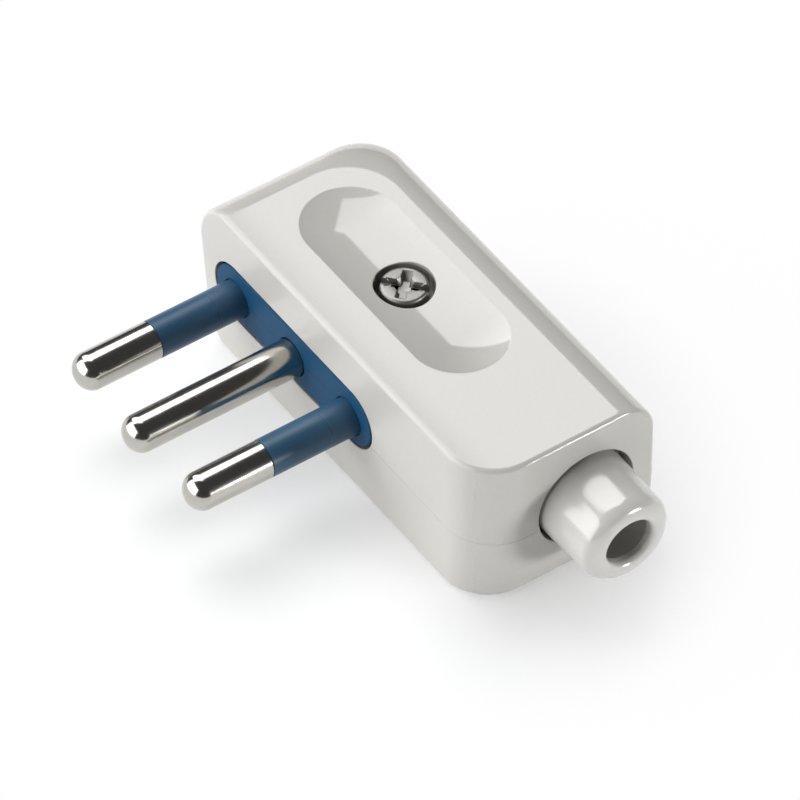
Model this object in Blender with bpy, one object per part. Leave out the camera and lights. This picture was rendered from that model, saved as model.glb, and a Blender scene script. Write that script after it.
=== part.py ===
"""Earthed mains plug with three round pins in a row and a cord outlet at its side.

Two moulded half shells close on a blue insulating carrier that holds the pins.
The two outer pins are sleeved near the body, and the middle one is the earth pin.
The cover screw sits in a shallow finger recess on top, and its nut in the bottom.

Lengths are in metres, +Z is up. Pieces are placed from the earth pin's axis (x = 0), the
front face (y = 0) and the flat bottom (z = 0), and one empty moves that point so that the
plug's outer box is centred on the world's origin.
"""

import math

import bmesh
import bpy
from mathutils import Vector

MM = 0.001

# Fits
GAP = 0.3 * MM
FIT = 0.25 * MM
OVERRUN = 2.0 * MM
SHORT_OVERRUN = 0.5 * MM

# Pins
PIN_RADIUS = 2.0 * MM
PIN_PITCH = 9.5 * MM
PIN_REACH = 18.8 * MM
EARTH_EXTRA = 0.6 * MM
PIN_HEIGHT = 8.7 * MM
PIN_TIP_LENGTH = 1.75 * MM
PIN_TIP_FLAT = 0.3 * MM
SLEEVE_REACH = 9.9 * MM
SLEEVE_WALL = 0.5 * MM
SLEEVE_FIT = 0.2 * MM

# Terminals behind the pins
BARREL_RADIUS = 2.8 * MM
BARREL_LENGTH = 4.0 * MM
WIRE_HOLE_RADIUS = 1.3 * MM
WIRE_HOLE_DEPTH = 3.0 * MM
TERMINAL_SCREW_RADIUS = 1.2 * MM
TERMINAL_SCREW_STAND = 1.5 * MM
TERMINAL_SCREW_BITE = 0.9 * MM
SCREW_SLOT_WIDTH = 0.5 * MM
SCREW_SLOT_DEPTH = 0.7 * MM

# Pin carrier
NOSE_HALF_LENGTH = 13.1 * MM
NOSE_RADIUS = 3.2 * MM
NOSE_SHIFT = 0.2 * MM
NOSE_LIFT = 0.45 * MM
NOSE_EDGE = 0.25 * MM
CARRIER_HALF_WIDTH = 12.8 * MM
CARRIER_FLANGE_HALF_HEIGHT = 4.3 * MM
CARRIER_FLANGE_THICKNESS = 1.5 * MM
CARRIER_HALF_HEIGHT = 3.8 * MM
CARRIER_BACK = 7.2 * MM

# Body outside
BODY_LEFT = 15.95 * MM
BODY_RIGHT = 31.3 * MM
BODY_DEPTH = 20.7 * MM
BODY_HEIGHT = 17.95 * MM
PARTING_HEIGHT = 7.75 * MM
SEAM = 0.3 * MM
LEFT_SLOPE_SHARE = 0.13
END_DRAFT_SHARE = 0.02
CORNER_FRONT_LEFT = 0.6 * MM
CORNER_FRONT_RIGHT = 5.5 * MM
CORNER_BACK_RIGHT = 0.6 * MM
CORNER_BACK_LEFT = 4.4 * MM
CORNER_BACK_LEFT_TOP = 6.1 * MM
TOP_EDGE = 0.6 * MM
TOP_EDGE_END = 0.5 * MM
TOP_EDGE_LEFT = 4.45 * MM
TOP_EDGE_LEFT_DROP = 5.05 * MM
TOP_EDGE_BACK = 4.4 * MM
TOP_EDGE_BACK_DROP = 4.1 * MM
BOTTOM_EDGE = 0.6 * MM
BOTTOM_EDGE_END = 1.2 * MM
BOTTOM_EDGE_LEFT = 3.5 * MM
BOTTOM_EDGE_BACK = 1.5 * MM

# Body inside
WALL = 1.8 * MM
END_WALL = 2.0 * MM
LEFT_WALL = 1.4 * MM
INNER_ROUNDING = 0.5 * MM
LIP_THICKNESS = 0.5 * MM
LIP_HEIGHT = 0.8 * MM
RIB = 1.2 * MM
RIB_SCREW_CLEARANCE = 0.6 * MM
RIB_END_CLEARANCE = 1.75 * MM

# Finger recess and cover screw
RECESS_HALF_LENGTH = 14.0 * MM
RECESS_HALF_WIDTH = 5.1 * MM
RECESS_DEPTH = 1.0 * MM
RECESS_FLOOR = 1.5 * MM
SCREW_Y = 9.9 * MM
HEAD_RADIUS = 2.35 * MM
HEAD_HEIGHT = 1.9 * MM
HEAD_STAND = 0.2 * MM
HEAD_ROUNDING = 0.35 * MM
HEAD_CLEARANCE = 0.7 * MM
SHANK_RADIUS = 1.45 * MM
BOSS_WALL = 1.1 * MM
BOSS_FLOOR = 1.6 * MM
CROSS_REACH = 1.5 * MM
CROSS_HALF_WIDTH = 0.42 * MM
CROSS_CORNER = 0.3 * MM
CROSS_DEPTH = 1.25 * MM
CROSS_TAPER_SHARE = 0.4
HEAD_SLOT_WIDTH = 0.75 * MM
HEAD_SLOT_DEPTH = 0.75 * MM
HEAD_TURN_DEGREES = 43.0

# Cover nut
NUT_FLATS = 5.5 * MM
NUT_HEIGHT = 2.4 * MM
NUT_RECESS = 0.4 * MM
NUT_CHAMFER = 0.35 * MM
NUT_CHAMFER_OVERRUN = 0.1 * MM
NUT_FLOOR = 1.4 * MM
NUT_WALL = 1.0 * MM
PILLAR_TO_BARREL = 0.3933 * MM

# Cord outlet
OUTLET_Y = 12.6 * MM
OUTLET_HEIGHT = 9.0 * MM
OUTLET_REACH = 7.2 * MM
OUTLET_ROOT_RADIUS = 5.15 * MM
OUTLET_MOUTH_RADIUS = 4.95 * MM
OUTLET_ROUNDING = 1.5 * MM
OUTLET_CLEARANCE = 0.4 * MM
OUTLET_HOLE_LIFT = 0.15 * MM
OUTLET_BORE_RADIUS = 2.95 * MM
OUTLET_BORE_EDGE = 0.5 * MM
OUTLET_LIP = 1.1 * MM
OUTLET_INNER_RADIUS = 3.4 * MM
OUTLET_FLANGE_THICKNESS = 1.4 * MM
OUTLET_NECK_RADIUS = 4.4 * MM
OUTLET_NECK_LENGTH = 2.4 * MM
OUTLET_COLLAR_WALL = 1.2 * MM

# Cord clamp
CLAMP_X = 20.9 * MM
CLAMP_BAR_WIDTH = 4.2 * MM
CLAMP_BAR_THICKNESS = 2.2 * MM
CLAMP_BAR_END = 1.7 * MM
CLAMP_BAR_HEIGHT = 10.5 * MM
CLAMP_ARCH_HALF_WIDTH = 2.7 * MM
CLAMP_ARCH_RISE = 1.0 * MM
CLAMP_BOSS_RADIUS = 1.75 * MM
CLAMP_SCREW_RADIUS = 1.0 * MM
CLAMP_SCREW_DEPTH = 5.0 * MM
CLAMP_SCREW_POINT = 1.0 * MM
CLAMP_POINT_RADIUS = 0.25 * MM
CLAMP_HEAD_RADIUS = 1.6 * MM
CLAMP_HEAD_HEIGHT = 1.2 * MM
CLAMP_HEAD_ROUNDING = 0.4 * MM
SADDLE_TOP = 7.0 * MM
SADDLE_HALF_LENGTH = 3.0 * MM

# Facets
ROUND_FACETS = 32
ARC_FACETS = 4
WIDE_ARC_FACETS = 10
TIP_FACETS = 7
LEVEL_SHARES = (0.0, 0.003, 0.012, 0.03, 0.06, 0.12, 0.2, 0.3, 0.45, 0.65, 1.0)

# Places worked out from the sizes above
EARTH_X = 0.0
LINE_X = -PIN_PITCH
NEUTRAL_X = PIN_PITCH
NOSE_CENTRE = (EARTH_X + NOSE_SHIFT, PIN_HEIGHT + NOSE_LIFT)
SCREW_X = PIN_PITCH / 2
UPPER_FROM = PARTING_HEIGHT + SEAM / 2
LOWER_TO = PARTING_HEIGHT - SEAM / 2
LIP_TOP = LOWER_TO + LIP_HEIGHT
INNER_TOP = BODY_HEIGHT - WALL
INNER_RIGHT = BODY_RIGHT - END_WALL
OUTLET_END = BODY_RIGHT + OUTLET_REACH
EARTH_TIP = -(PIN_REACH + EARTH_EXTRA)
CARRIER_FLANGE_FRONT = WALL + GAP
CARRIER_FLANGE_BACK = CARRIER_FLANGE_FRONT + CARRIER_FLANGE_THICKNESS
BARREL_FRONT = CARRIER_FLANGE_BACK + GAP
BARREL_BACK = BARREL_FRONT + BARREL_LENGTH
TERMINAL_Y = (BARREL_FRONT + BARREL_BACK) / 2
RECESS_FLOOR_Z = BODY_HEIGHT - RECESS_DEPTH
HEAD_TOP = RECESS_FLOOR_Z + HEAD_STAND
HEAD_SEAT = HEAD_TOP - HEAD_HEIGHT
COUNTERBORE_RADIUS = HEAD_RADIUS + HEAD_CLEARANCE
COUNTERBORE_FLOOR = HEAD_SEAT - GAP
UPPER_BOSS_BOTTOM = COUNTERBORE_FLOOR - BOSS_FLOOR
NUT_TOP = NUT_RECESS + NUT_HEIGHT
NUT_POCKET_TOP = NUT_TOP + GAP
NUT_CORNER_RADIUS = NUT_FLATS / math.sqrt(3.0)
NUT_BOSS_TOP = NUT_POCKET_TOP + NUT_FLOOR
LOWER_PILLAR_RADIUS = math.hypot(
    SCREW_X - BARREL_RADIUS, SCREW_Y - BARREL_BACK,
) - PILLAR_TO_BARREL
FLANGE_RIGHT = INNER_RIGHT - GAP
FLANGE_LEFT = FLANGE_RIGHT - OUTLET_FLANGE_THICKNESS
NECK_LEFT = FLANGE_LEFT - OUTLET_NECK_LENGTH
CLAMP_REACH = BODY_DEPTH - WALL - GAP - OUTLET_Y
FLANGE_RADIUS = min(
    CLAMP_REACH, OUTLET_HEIGHT - WALL - GAP, INNER_TOP - GAP - OUTLET_HEIGHT,
)
CLAMP_HALF_SPACING = CLAMP_REACH - CLAMP_BAR_END
CLAMP_BOSS_TOP = CLAMP_BAR_HEIGHT - GAP
FRAME_SHIFT = Vector((
    -(OUTLET_END - BODY_LEFT) / 2,
    -(BODY_DEPTH + EARTH_TIP) / 2,
    0.0,
))

WHITE = (0.78, 0.77, 0.74)
WARM_WHITE = (0.74, 0.73, 0.70)
BLUE = (0.02, 0.09, 0.2)
NICKEL = (0.72, 0.7, 0.66)
STEEL = (0.6, 0.6, 0.6)


def clear_scene():
    """Remove every object that the open file holds."""
    for item in list(bpy.data.objects):
        bpy.data.objects.remove(item, do_unlink=True)


def make_material(name, colour, roughness, metallic):
    """Return a Principled material of one colour."""
    material = bpy.data.materials.new(name)
    material.use_nodes = True
    shader = material.node_tree.nodes["Principled BSDF"]
    shader.inputs["Base Color"].default_value = (*colour, 1.0)
    shader.inputs["Roughness"].default_value = roughness
    shader.inputs["Metallic"].default_value = metallic
    return material


def make_frame():
    """Return the empty that centres the plug on the world's origin."""
    frame = bpy.data.objects.new("plug_frame", None)
    frame.location = FRAME_SHIFT
    bpy.context.scene.collection.objects.link(frame)
    return frame


def add_solid(name, bm, frame, material=None):
    """Turn a bmesh into a named object under the frame, with its faces pointing out."""
    bmesh.ops.recalc_face_normals(bm, faces=bm.faces)
    mesh = bpy.data.meshes.new(name)
    bm.to_mesh(mesh)
    bm.free()
    solid = bpy.data.objects.new(name, mesh)
    bpy.context.scene.collection.objects.link(solid)
    solid.parent = frame
    if material is None:
        solid.hide_render = True
        solid.display_type = "WIRE"
    else:
        mesh.materials.append(material)
        mesh.shade_smooth()
        mesh.set_sharp_from_angle(angle=math.radians(30))
    return solid


def combine(solid, tool, operation):
    """Join, cut or trim a solid with a tool object."""
    modifier = solid.modifiers.new(f"{operation.lower()} {tool.name}", "BOOLEAN")
    modifier.operation = operation
    modifier.solver = "EXACT"
    modifier.object = tool


def prism(outline, low, high, axis):
    """Return a bmesh of an outline pushed along X, Y or Z from low to high.

    The outline's pairs are (y, z) for X, (x, z) for Y and (x, y) for Z.
    """
    def place(pair, height):
        if axis == "X":
            return (height, pair[0], pair[1])
        if axis == "Y":
            return (pair[0], height, pair[1])
        return (pair[0], pair[1], height)

    bm = bmesh.new()
    first = [bm.verts.new(place(pair, low)) for pair in outline]
    last = [bm.verts.new(place(pair, high)) for pair in outline]
    bm.faces.new(first)
    bm.faces.new(last)
    count = len(outline)
    for index in range(count):
        after = (index + 1) % count
        bm.faces.new((first[index], first[after], last[after], last[index]))
    return bm


def stacked(rings):
    """Return a bmesh that joins rings of points of one count, with a cap at each end."""
    bm = bmesh.new()
    rows = [[bm.verts.new(point) for point in ring] for ring in rings]
    bm.faces.new(rows[0])
    bm.faces.new(rows[-1])
    for low, high in zip(rows, rows[1:]):
        for index in range(len(low)):
            after = (index + 1) % len(low)
            bm.faces.new((low[index], low[after], high[after], high[index]))
    return bm


def block(low, high):
    """Return a bmesh box between two corners."""
    outline = [(low[0], low[1]), (high[0], low[1]), (high[0], high[1]), (low[0], high[1])]
    return prism(outline, low[2], high[2], "Z")


def arc(centre, radius, start, end, facets):
    """Return points on an arc, angles in degrees, both ends included."""
    points = []
    for step in range(facets + 1):
        angle = math.radians(start + (end - start) * step / facets)
        points.append((centre[0] + radius * math.cos(angle), centre[1] + radius * math.sin(angle)))
    return points


def circle(centre, radius, facets=ROUND_FACETS):
    """Return the points of a full circle, each one once."""
    return arc(centre, radius, 0.0, 360.0, facets)[:-1]


def stadium(centre, half_length, radius, facets=WIDE_ARC_FACETS * 2):
    """Return a flat-sided outline with half-round ends, long along its first axis."""
    reach = half_length - radius
    right = arc((centre[0] + reach, centre[1]), radius, -90.0, 90.0, facets)
    left = arc((centre[0] - reach, centre[1]), radius, 90.0, 270.0, facets)
    return right + left


def cylinder(centre, radius, low, high, axis, facets=ROUND_FACETS):
    """Return a bmesh cylinder along X, Y or Z, its centre given in the other two."""
    return prism(circle(centre, radius, facets), low, high, axis)


def turned(profile, centre, axis, closed=False, facets=ROUND_FACETS):
    """Return a bmesh turned from (radius, height) points about an axis along X, Y or Z.

    An open profile gets a flat cap at each end. A closed one is a ring's section.
    """
    def place(radius, height, angle):
        first = centre[0] + radius * math.cos(angle)
        second = centre[1] + radius * math.sin(angle)
        if axis == "X":
            return (height, first, second)
        if axis == "Y":
            return (first, height, second)
        return (first, second, height)

    bm = bmesh.new()
    turns = [2.0 * math.pi * step / facets for step in range(facets)]
    rings = [[bm.verts.new(place(radius, height, angle)) for angle in turns]
             for radius, height in profile]
    pairs = list(zip(rings, rings[1:]))
    if closed:
        pairs.append((rings[-1], rings[0]))
    else:
        bm.faces.new(rings[0])
        bm.faces.new(rings[-1])
    for low, high in pairs:
        for step in range(facets):
            after = (step + 1) % facets
            bm.faces.new((low[step], low[after], high[after], high[step]))
    return bm


def edge_inset(below, rounding):
    """Return how far an edge rounding (width, drop) draws in, at a distance from its flat face."""
    width, drop = rounding
    rest = max(0.0, 1.0 - below / drop)
    return width * (1.0 - math.sqrt(1.0 - rest * rest))


def level_outline(level, sizes):
    """Return the body's outline at one height as points (x, y)."""
    insets = {}
    for side in ("left", "front", "right", "back"):
        top = edge_inset(sizes["high"] - level, sizes["top"][side])
        insets[side] = max(top, edge_inset(level - sizes["low"], sizes["bottom"][side]))
    below_edge = max(0.0, sizes["high"] - sizes["top"]["left"][1] - level)
    west = sizes["left"] + LEFT_SLOPE_SHARE * below_edge + insets["left"]
    east = sizes["right"] - sizes["draft"] * abs(level - PARTING_HEIGHT) - insets["right"]
    south, north = sizes["front"] + insets["front"], sizes["back"] - insets["back"]
    front_left, front_right, back_right, back_left, back_left_top = sizes["corners"]
    front_right = max(front_right - insets["right"], back_right)
    back_left += (back_left_top - back_left) * insets["back"] / sizes["top"]["back"][0]

    points = arc((west + front_left, south + front_left), front_left, 180.0, 270.0, ARC_FACETS)
    points += arc((east - front_right, south + front_right), front_right, 270.0, 360.0,
                  WIDE_ARC_FACETS)
    points += arc((east - back_right, north - back_right), back_right, 0.0, 90.0, ARC_FACETS)
    points += arc((west + back_left, north - back_left), back_left, 90.0, 180.0, WIDE_ARC_FACETS)
    return points


def lofted_body(sizes):
    """Return a bmesh lofted through the body's levels, from its flat bottom to its flat top."""
    top_reach = max(drop for width, drop in sizes["top"].values())
    bottom_reach = max(drop for width, drop in sizes["bottom"].values())
    levels = [sizes["low"] + bottom_reach * share for share in LEVEL_SHARES]
    levels += [PARTING_HEIGHT]
    levels += [sizes["high"] - top_reach * share for share in reversed(LEVEL_SHARES)]
    return stacked([[(x, y, level) for x, y in level_outline(level, sizes)] for level in levels])


def outer_sizes():
    """Return the sizes of the body's outside."""
    return {
        "left": -BODY_LEFT, "right": BODY_RIGHT, "front": 0.0, "back": BODY_DEPTH,
        "low": 0.0, "high": BODY_HEIGHT, "draft": END_DRAFT_SHARE,
        "top": {
            "left": (TOP_EDGE_LEFT, TOP_EDGE_LEFT_DROP), "front": (TOP_EDGE, TOP_EDGE),
            "right": (TOP_EDGE_END, TOP_EDGE_END), "back": (TOP_EDGE_BACK, TOP_EDGE_BACK_DROP),
        },
        "bottom": {
            "left": (BOTTOM_EDGE_LEFT, BOTTOM_EDGE_LEFT), "front": (BOTTOM_EDGE, BOTTOM_EDGE),
            "right": (BOTTOM_EDGE_END, BOTTOM_EDGE_END), "back": (BOTTOM_EDGE_BACK, BOTTOM_EDGE_BACK),
        },
        "corners": (CORNER_FRONT_LEFT, CORNER_FRONT_RIGHT, CORNER_BACK_RIGHT, CORNER_BACK_LEFT,
                    CORNER_BACK_LEFT_TOP),
    }


def inner_sizes():
    """Return the sizes of the wiring chamber, one wall inside the body's outside."""
    small = (INNER_ROUNDING, INNER_ROUNDING)
    left, left_drop = TOP_EDGE_LEFT - LEFT_WALL, TOP_EDGE_LEFT_DROP - WALL
    back, back_drop = TOP_EDGE_BACK - WALL, TOP_EDGE_BACK_DROP - WALL
    low_left = BOTTOM_EDGE_LEFT - LEFT_WALL
    return {
        "left": -BODY_LEFT + LEFT_WALL, "right": INNER_RIGHT,
        "front": WALL, "back": BODY_DEPTH - WALL,
        "low": WALL, "high": INNER_TOP, "draft": 0.0,
        "top": {"left": (left, left_drop), "front": small, "right": small, "back": (back, back_drop)},
        "bottom": {"left": (low_left, low_left), "front": small, "right": small, "back": small},
        "corners": (INNER_ROUNDING, CORNER_FRONT_RIGHT - WALL, INNER_ROUNDING,
                    CORNER_BACK_LEFT - WALL, CORNER_BACK_LEFT_TOP - WALL),
    }


def chamber_slab(grow, low, high):
    """Return a bmesh of the chamber's outline grown outwards, between two heights."""
    sizes = inner_sizes()
    sizes["left"], sizes["right"] = sizes["left"] - grow, sizes["right"] + grow
    sizes["front"], sizes["back"] = sizes["front"] - grow, sizes["back"] + grow
    sizes["corners"] = tuple(corner + grow for corner in sizes["corners"])
    return stacked([[(x, y, level) for x, y in level_outline(level, sizes)]
                    for level in (low, high)])


def capsule(radius, half_reach, centre):
    """Return a bmesh of a lying capsule along X, whose lower side is the finger recess."""
    steps = ROUND_FACETS // 2
    right = arc((half_reach, 0.0), radius, 0.0, 90.0, steps)
    left = arc((-half_reach, 0.0), radius, 90.0, 180.0, steps)
    profile = [(high, along + centre[0]) for along, high in right[1:] + left[:-1]]
    return turned(profile, (centre[1], centre[2]), "X", facets=ROUND_FACETS * 2)


def pin_profile(tip, neck_from, neck_radius):
    """Return a pin's turned profile from its rounded tip to the back of its barrel."""
    profile = []
    for step in range(TIP_FACETS + 1):
        turn = math.radians(90.0 * step / TIP_FACETS)
        radius = PIN_TIP_FLAT + (PIN_RADIUS - PIN_TIP_FLAT) * math.sin(turn)
        profile.append((radius, tip + PIN_TIP_LENGTH * (1.0 - math.cos(turn))))
    if neck_radius:
        profile += [(PIN_RADIUS, neck_from), (neck_radius, neck_from), (neck_radius, BARREL_FRONT)]
    else:
        profile += [(PIN_RADIUS, BARREL_FRONT)]
    return profile + [(BARREL_RADIUS, BARREL_FRONT), (BARREL_RADIUS, BARREL_BACK)]


def add_pin(name, x, tip, sleeved, frame, material):
    """Add one pin with its terminal barrel, drilled for the wire and for the clamp screw."""
    neck_radius = PIN_RADIUS - SLEEVE_WALL - SLEEVE_FIT if sleeved else None
    profile = pin_profile(tip, -SLEEVE_REACH, neck_radius)
    pin = add_solid(name, turned(profile, (x, PIN_HEIGHT), "Y"), frame, material)
    wire_hole = add_solid(
        f"{name}_wire_hole",
        cylinder((x, PIN_HEIGHT), WIRE_HOLE_RADIUS, BARREL_BACK - WIRE_HOLE_DEPTH,
                 BARREL_BACK + OVERRUN, "Y", ROUND_FACETS // 2), frame)
    screw_hole = add_solid(
        f"{name}_screw_hole",
        cylinder((x, TERMINAL_Y), TERMINAL_SCREW_RADIUS + FIT, PIN_HEIGHT + GAP,
                 PIN_HEIGHT + BARREL_RADIUS + OVERRUN, "Z", ROUND_FACETS // 2), frame)
    combine(pin, wire_hole, "DIFFERENCE")
    combine(pin, screw_hole, "DIFFERENCE")


def add_sleeve(name, x, frame, material):
    """Add the insulating sleeve that covers an outer pin's neck, flush with its bare tip."""
    inner = PIN_RADIUS - SLEEVE_WALL
    low, high = -SLEEVE_REACH + FIT, BARREL_FRONT - GAP
    profile = [(inner, low), (PIN_RADIUS, low), (PIN_RADIUS, high), (inner, high)]
    add_solid(name, turned(profile, (x, PIN_HEIGHT), "Y", closed=True), frame, material)


def add_terminal_screw(name, x, frame, material):
    """Add a headless slotted screw that stands in a pin's barrel."""
    low = PIN_HEIGHT + TERMINAL_SCREW_BITE
    high = PIN_HEIGHT + BARREL_RADIUS + TERMINAL_SCREW_STAND
    body = cylinder((x, TERMINAL_Y), TERMINAL_SCREW_RADIUS, low, high, "Z", ROUND_FACETS // 2)
    screw = add_solid(name, body, frame, material)
    reach = TERMINAL_SCREW_RADIUS + OVERRUN
    slot = block((x - reach, TERMINAL_Y - SCREW_SLOT_WIDTH / 2, high - SCREW_SLOT_DEPTH),
                 (x + reach, TERMINAL_Y + SCREW_SLOT_WIDTH / 2, high + OVERRUN))
    combine(screw, add_solid(f"{name}_slot", slot, frame), "DIFFERENCE")


def add_carrier(frame, material):
    """Add the insulating pin carrier: a nose, a flange behind the front wall and a block."""
    rings = []
    for inset, height in ((NOSE_EDGE, 0.0), (0.0, NOSE_EDGE), (0.0, CARRIER_FLANGE_FRONT + GAP)):
        outline = stadium(NOSE_CENTRE, NOSE_HALF_LENGTH - inset, NOSE_RADIUS - inset)
        rings.append([(x, height, z) for x, z in outline])
    carrier = add_solid("pin_carrier", stacked(rings), frame, material)
    flange = block(
        (-CARRIER_HALF_WIDTH, CARRIER_FLANGE_FRONT, PIN_HEIGHT - CARRIER_FLANGE_HALF_HEIGHT),
        (CARRIER_HALF_WIDTH, CARRIER_FLANGE_BACK, PIN_HEIGHT + CARRIER_FLANGE_HALF_HEIGHT))
    trunk = block(
        (-CARRIER_HALF_WIDTH + GAP, CARRIER_FLANGE_BACK - GAP, PIN_HEIGHT - CARRIER_HALF_HEIGHT),
        (CARRIER_HALF_WIDTH - GAP, CARRIER_BACK, PIN_HEIGHT + CARRIER_HALF_HEIGHT))
    combine(carrier, add_solid("carrier_flange", flange, frame), "UNION")
    combine(carrier, add_solid("carrier_trunk", trunk, frame), "UNION")
    for x in (LINE_X, EARTH_X, NEUTRAL_X):
        bore = cylinder((x, PIN_HEIGHT), PIN_RADIUS + FIT, -OVERRUN, CARRIER_BACK, "Y")
        pocket = cylinder((x, PIN_HEIGHT), BARREL_RADIUS + FIT, BARREL_FRONT - GAP,
                          CARRIER_BACK + OVERRUN, "Y")
        half = TERMINAL_SCREW_RADIUS + GAP
        slot = block((x - half, TERMINAL_Y - half, PIN_HEIGHT),
                     (x + half, CARRIER_BACK + OVERRUN, PIN_HEIGHT + CARRIER_HALF_HEIGHT + OVERRUN))
        for label, tool in (("bore", bore), ("pocket", pocket), ("slot", slot)):
            combine(carrier, add_solid(f"carrier_{label}", tool, frame), "DIFFERENCE")


def cross_outline():
    """Return the cross recess's four-armed outline about its own centre."""
    inner = CROSS_HALF_WIDTH + CROSS_CORNER
    arm = ((CROSS_REACH, -CROSS_HALF_WIDTH), (CROSS_REACH, CROSS_HALF_WIDTH),
           (inner, CROSS_HALF_WIDTH), (CROSS_HALF_WIDTH, inner))
    points = []
    for quarter in range(4):
        turn = math.pi / 2 * quarter
        points += [(x * math.cos(turn) - y * math.sin(turn), x * math.sin(turn) + y * math.cos(turn))
                   for x, y in arm]
    return points


def add_cover_screw(frame, material):
    """Add the cover screw, its head with one slot across a tapering cross recess."""
    profile = []
    for step in range(ARC_FACETS + 1):
        turn = math.radians(90.0 * step / ARC_FACETS)
        radius = HEAD_RADIUS - HEAD_ROUNDING + HEAD_ROUNDING * math.sin(turn)
        profile.append((radius, HEAD_TOP - HEAD_ROUNDING * (1.0 - math.cos(turn))))
    profile += [(HEAD_RADIUS, HEAD_SEAT), (SHANK_RADIUS, HEAD_SEAT),
                (SHANK_RADIUS, NUT_RECESS + GAP)]
    screw = add_solid("cover_screw", turned(profile, (SCREW_X, SCREW_Y), "Z"), frame, material)
    reach, half = HEAD_RADIUS + OVERRUN, HEAD_SLOT_WIDTH / 2
    slot = block((-reach, -half, HEAD_TOP - HEAD_SLOT_DEPTH), (reach, half, HEAD_TOP + OVERRUN))
    rings = []
    for share, height in ((1.0, HEAD_TOP + OVERRUN), (1.0, HEAD_TOP),
                          (CROSS_TAPER_SHARE, HEAD_TOP - CROSS_DEPTH)):
        rings.append([(x * share, y * share, height) for x, y in cross_outline()])
    for label, bm in (("slot", slot), ("cross", stacked(rings))):
        tool = add_solid(f"cover_screw_{label}", bm, frame)
        tool.location = (SCREW_X, SCREW_Y, 0.0)
        tool.rotation_euler = (0.0, 0.0, math.radians(HEAD_TURN_DEGREES))
        combine(screw, tool, "DIFFERENCE")


def add_cover_nut(frame, material):
    """Add the hexagonal nut that the cover screw bites in, its corners chamfered."""
    outline = circle((SCREW_X, SCREW_Y), NUT_CORNER_RADIUS, 6)
    nut = add_solid("cover_nut", prism(outline, NUT_RECESS, NUT_TOP, "Z"), frame, material)
    edge, wide = NUT_FLATS / 2, NUT_CORNER_RADIUS + GAP
    profile = [(edge, NUT_RECESS - NUT_CHAMFER_OVERRUN), (wide, NUT_RECESS + NUT_CHAMFER),
               (wide, NUT_TOP - NUT_CHAMFER), (edge, NUT_TOP + NUT_CHAMFER_OVERRUN)]
    limit = turned(profile, (SCREW_X, SCREW_Y), "Z")
    combine(nut, add_solid("cover_nut_limit", limit, frame), "INTERSECT")
    hole = cylinder((SCREW_X, SCREW_Y), SHANK_RADIUS + FIT, -OVERRUN, NUT_TOP + OVERRUN, "Z")
    combine(nut, add_solid("cover_nut_hole", hole, frame), "DIFFERENCE")


def add_cord_outlet(frame, material):
    """Add the outlet bush: flange and neck inside, a rounded tapering mouth outside."""
    edge, bore = OUTLET_BORE_EDGE, OUTLET_BORE_RADIUS
    mouth_edge = (OUTLET_END - OUTLET_ROUNDING, OUTLET_MOUTH_RADIUS - OUTLET_ROUNDING)
    profile = [
        (OUTLET_INNER_RADIUS, NECK_LEFT), (OUTLET_NECK_RADIUS, NECK_LEFT),
        (OUTLET_NECK_RADIUS, FLANGE_LEFT), (FLANGE_RADIUS, FLANGE_LEFT),
        (FLANGE_RADIUS, FLANGE_RIGHT), (OUTLET_ROOT_RADIUS, FLANGE_RIGHT),
    ]
    profile += [(high, along) for along, high in
                reversed(arc(mouth_edge, OUTLET_ROUNDING, 0.0, 90.0, ARC_FACETS))]
    profile += [(high, along) for along, high in
                arc((OUTLET_END - edge, bore + edge), edge, 0.0, -90.0, ARC_FACETS // 2)]
    profile += [(bore, OUTLET_END - OUTLET_LIP), (OUTLET_INNER_RADIUS, OUTLET_END - OUTLET_LIP)]
    bush = turned(profile, (OUTLET_Y, OUTLET_HEIGHT), "X", closed=True)
    add_solid("cord_outlet", bush, frame, material)


def add_clamp_bar(frame, material):
    """Add the arched bar that two screws pull down on the cord."""
    low, high = CLAMP_BAR_HEIGHT, CLAMP_BAR_HEIGHT + CLAMP_BAR_THICKNESS
    half, rise = CLAMP_ARCH_HALF_WIDTH, CLAMP_ARCH_RISE
    radius = (half * half + rise * rise) / (2.0 * rise)
    swing = math.degrees(math.asin(half / radius))
    outline = [(OUTLET_Y + CLAMP_REACH, low), (OUTLET_Y + CLAMP_REACH, high),
               (OUTLET_Y - CLAMP_REACH, high), (OUTLET_Y - CLAMP_REACH, low)]
    outline += arc((OUTLET_Y, low + rise - radius), radius, 90.0 + swing, 90.0 - swing,
                   WIDE_ARC_FACETS)
    body = prism(outline, CLAMP_X - CLAMP_BAR_WIDTH / 2, CLAMP_X + CLAMP_BAR_WIDTH / 2, "X")
    bar = add_solid("cord_clamp_bar", body, frame, material)
    for side in (-1.0, 1.0):
        hole = cylinder((CLAMP_X, OUTLET_Y + side * CLAMP_HALF_SPACING), CLAMP_SCREW_RADIUS + FIT,
                        low - OVERRUN, high + OVERRUN, "Z", ROUND_FACETS // 2)
        combine(bar, add_solid("clamp_bar_hole", hole, frame), "DIFFERENCE")


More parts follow.
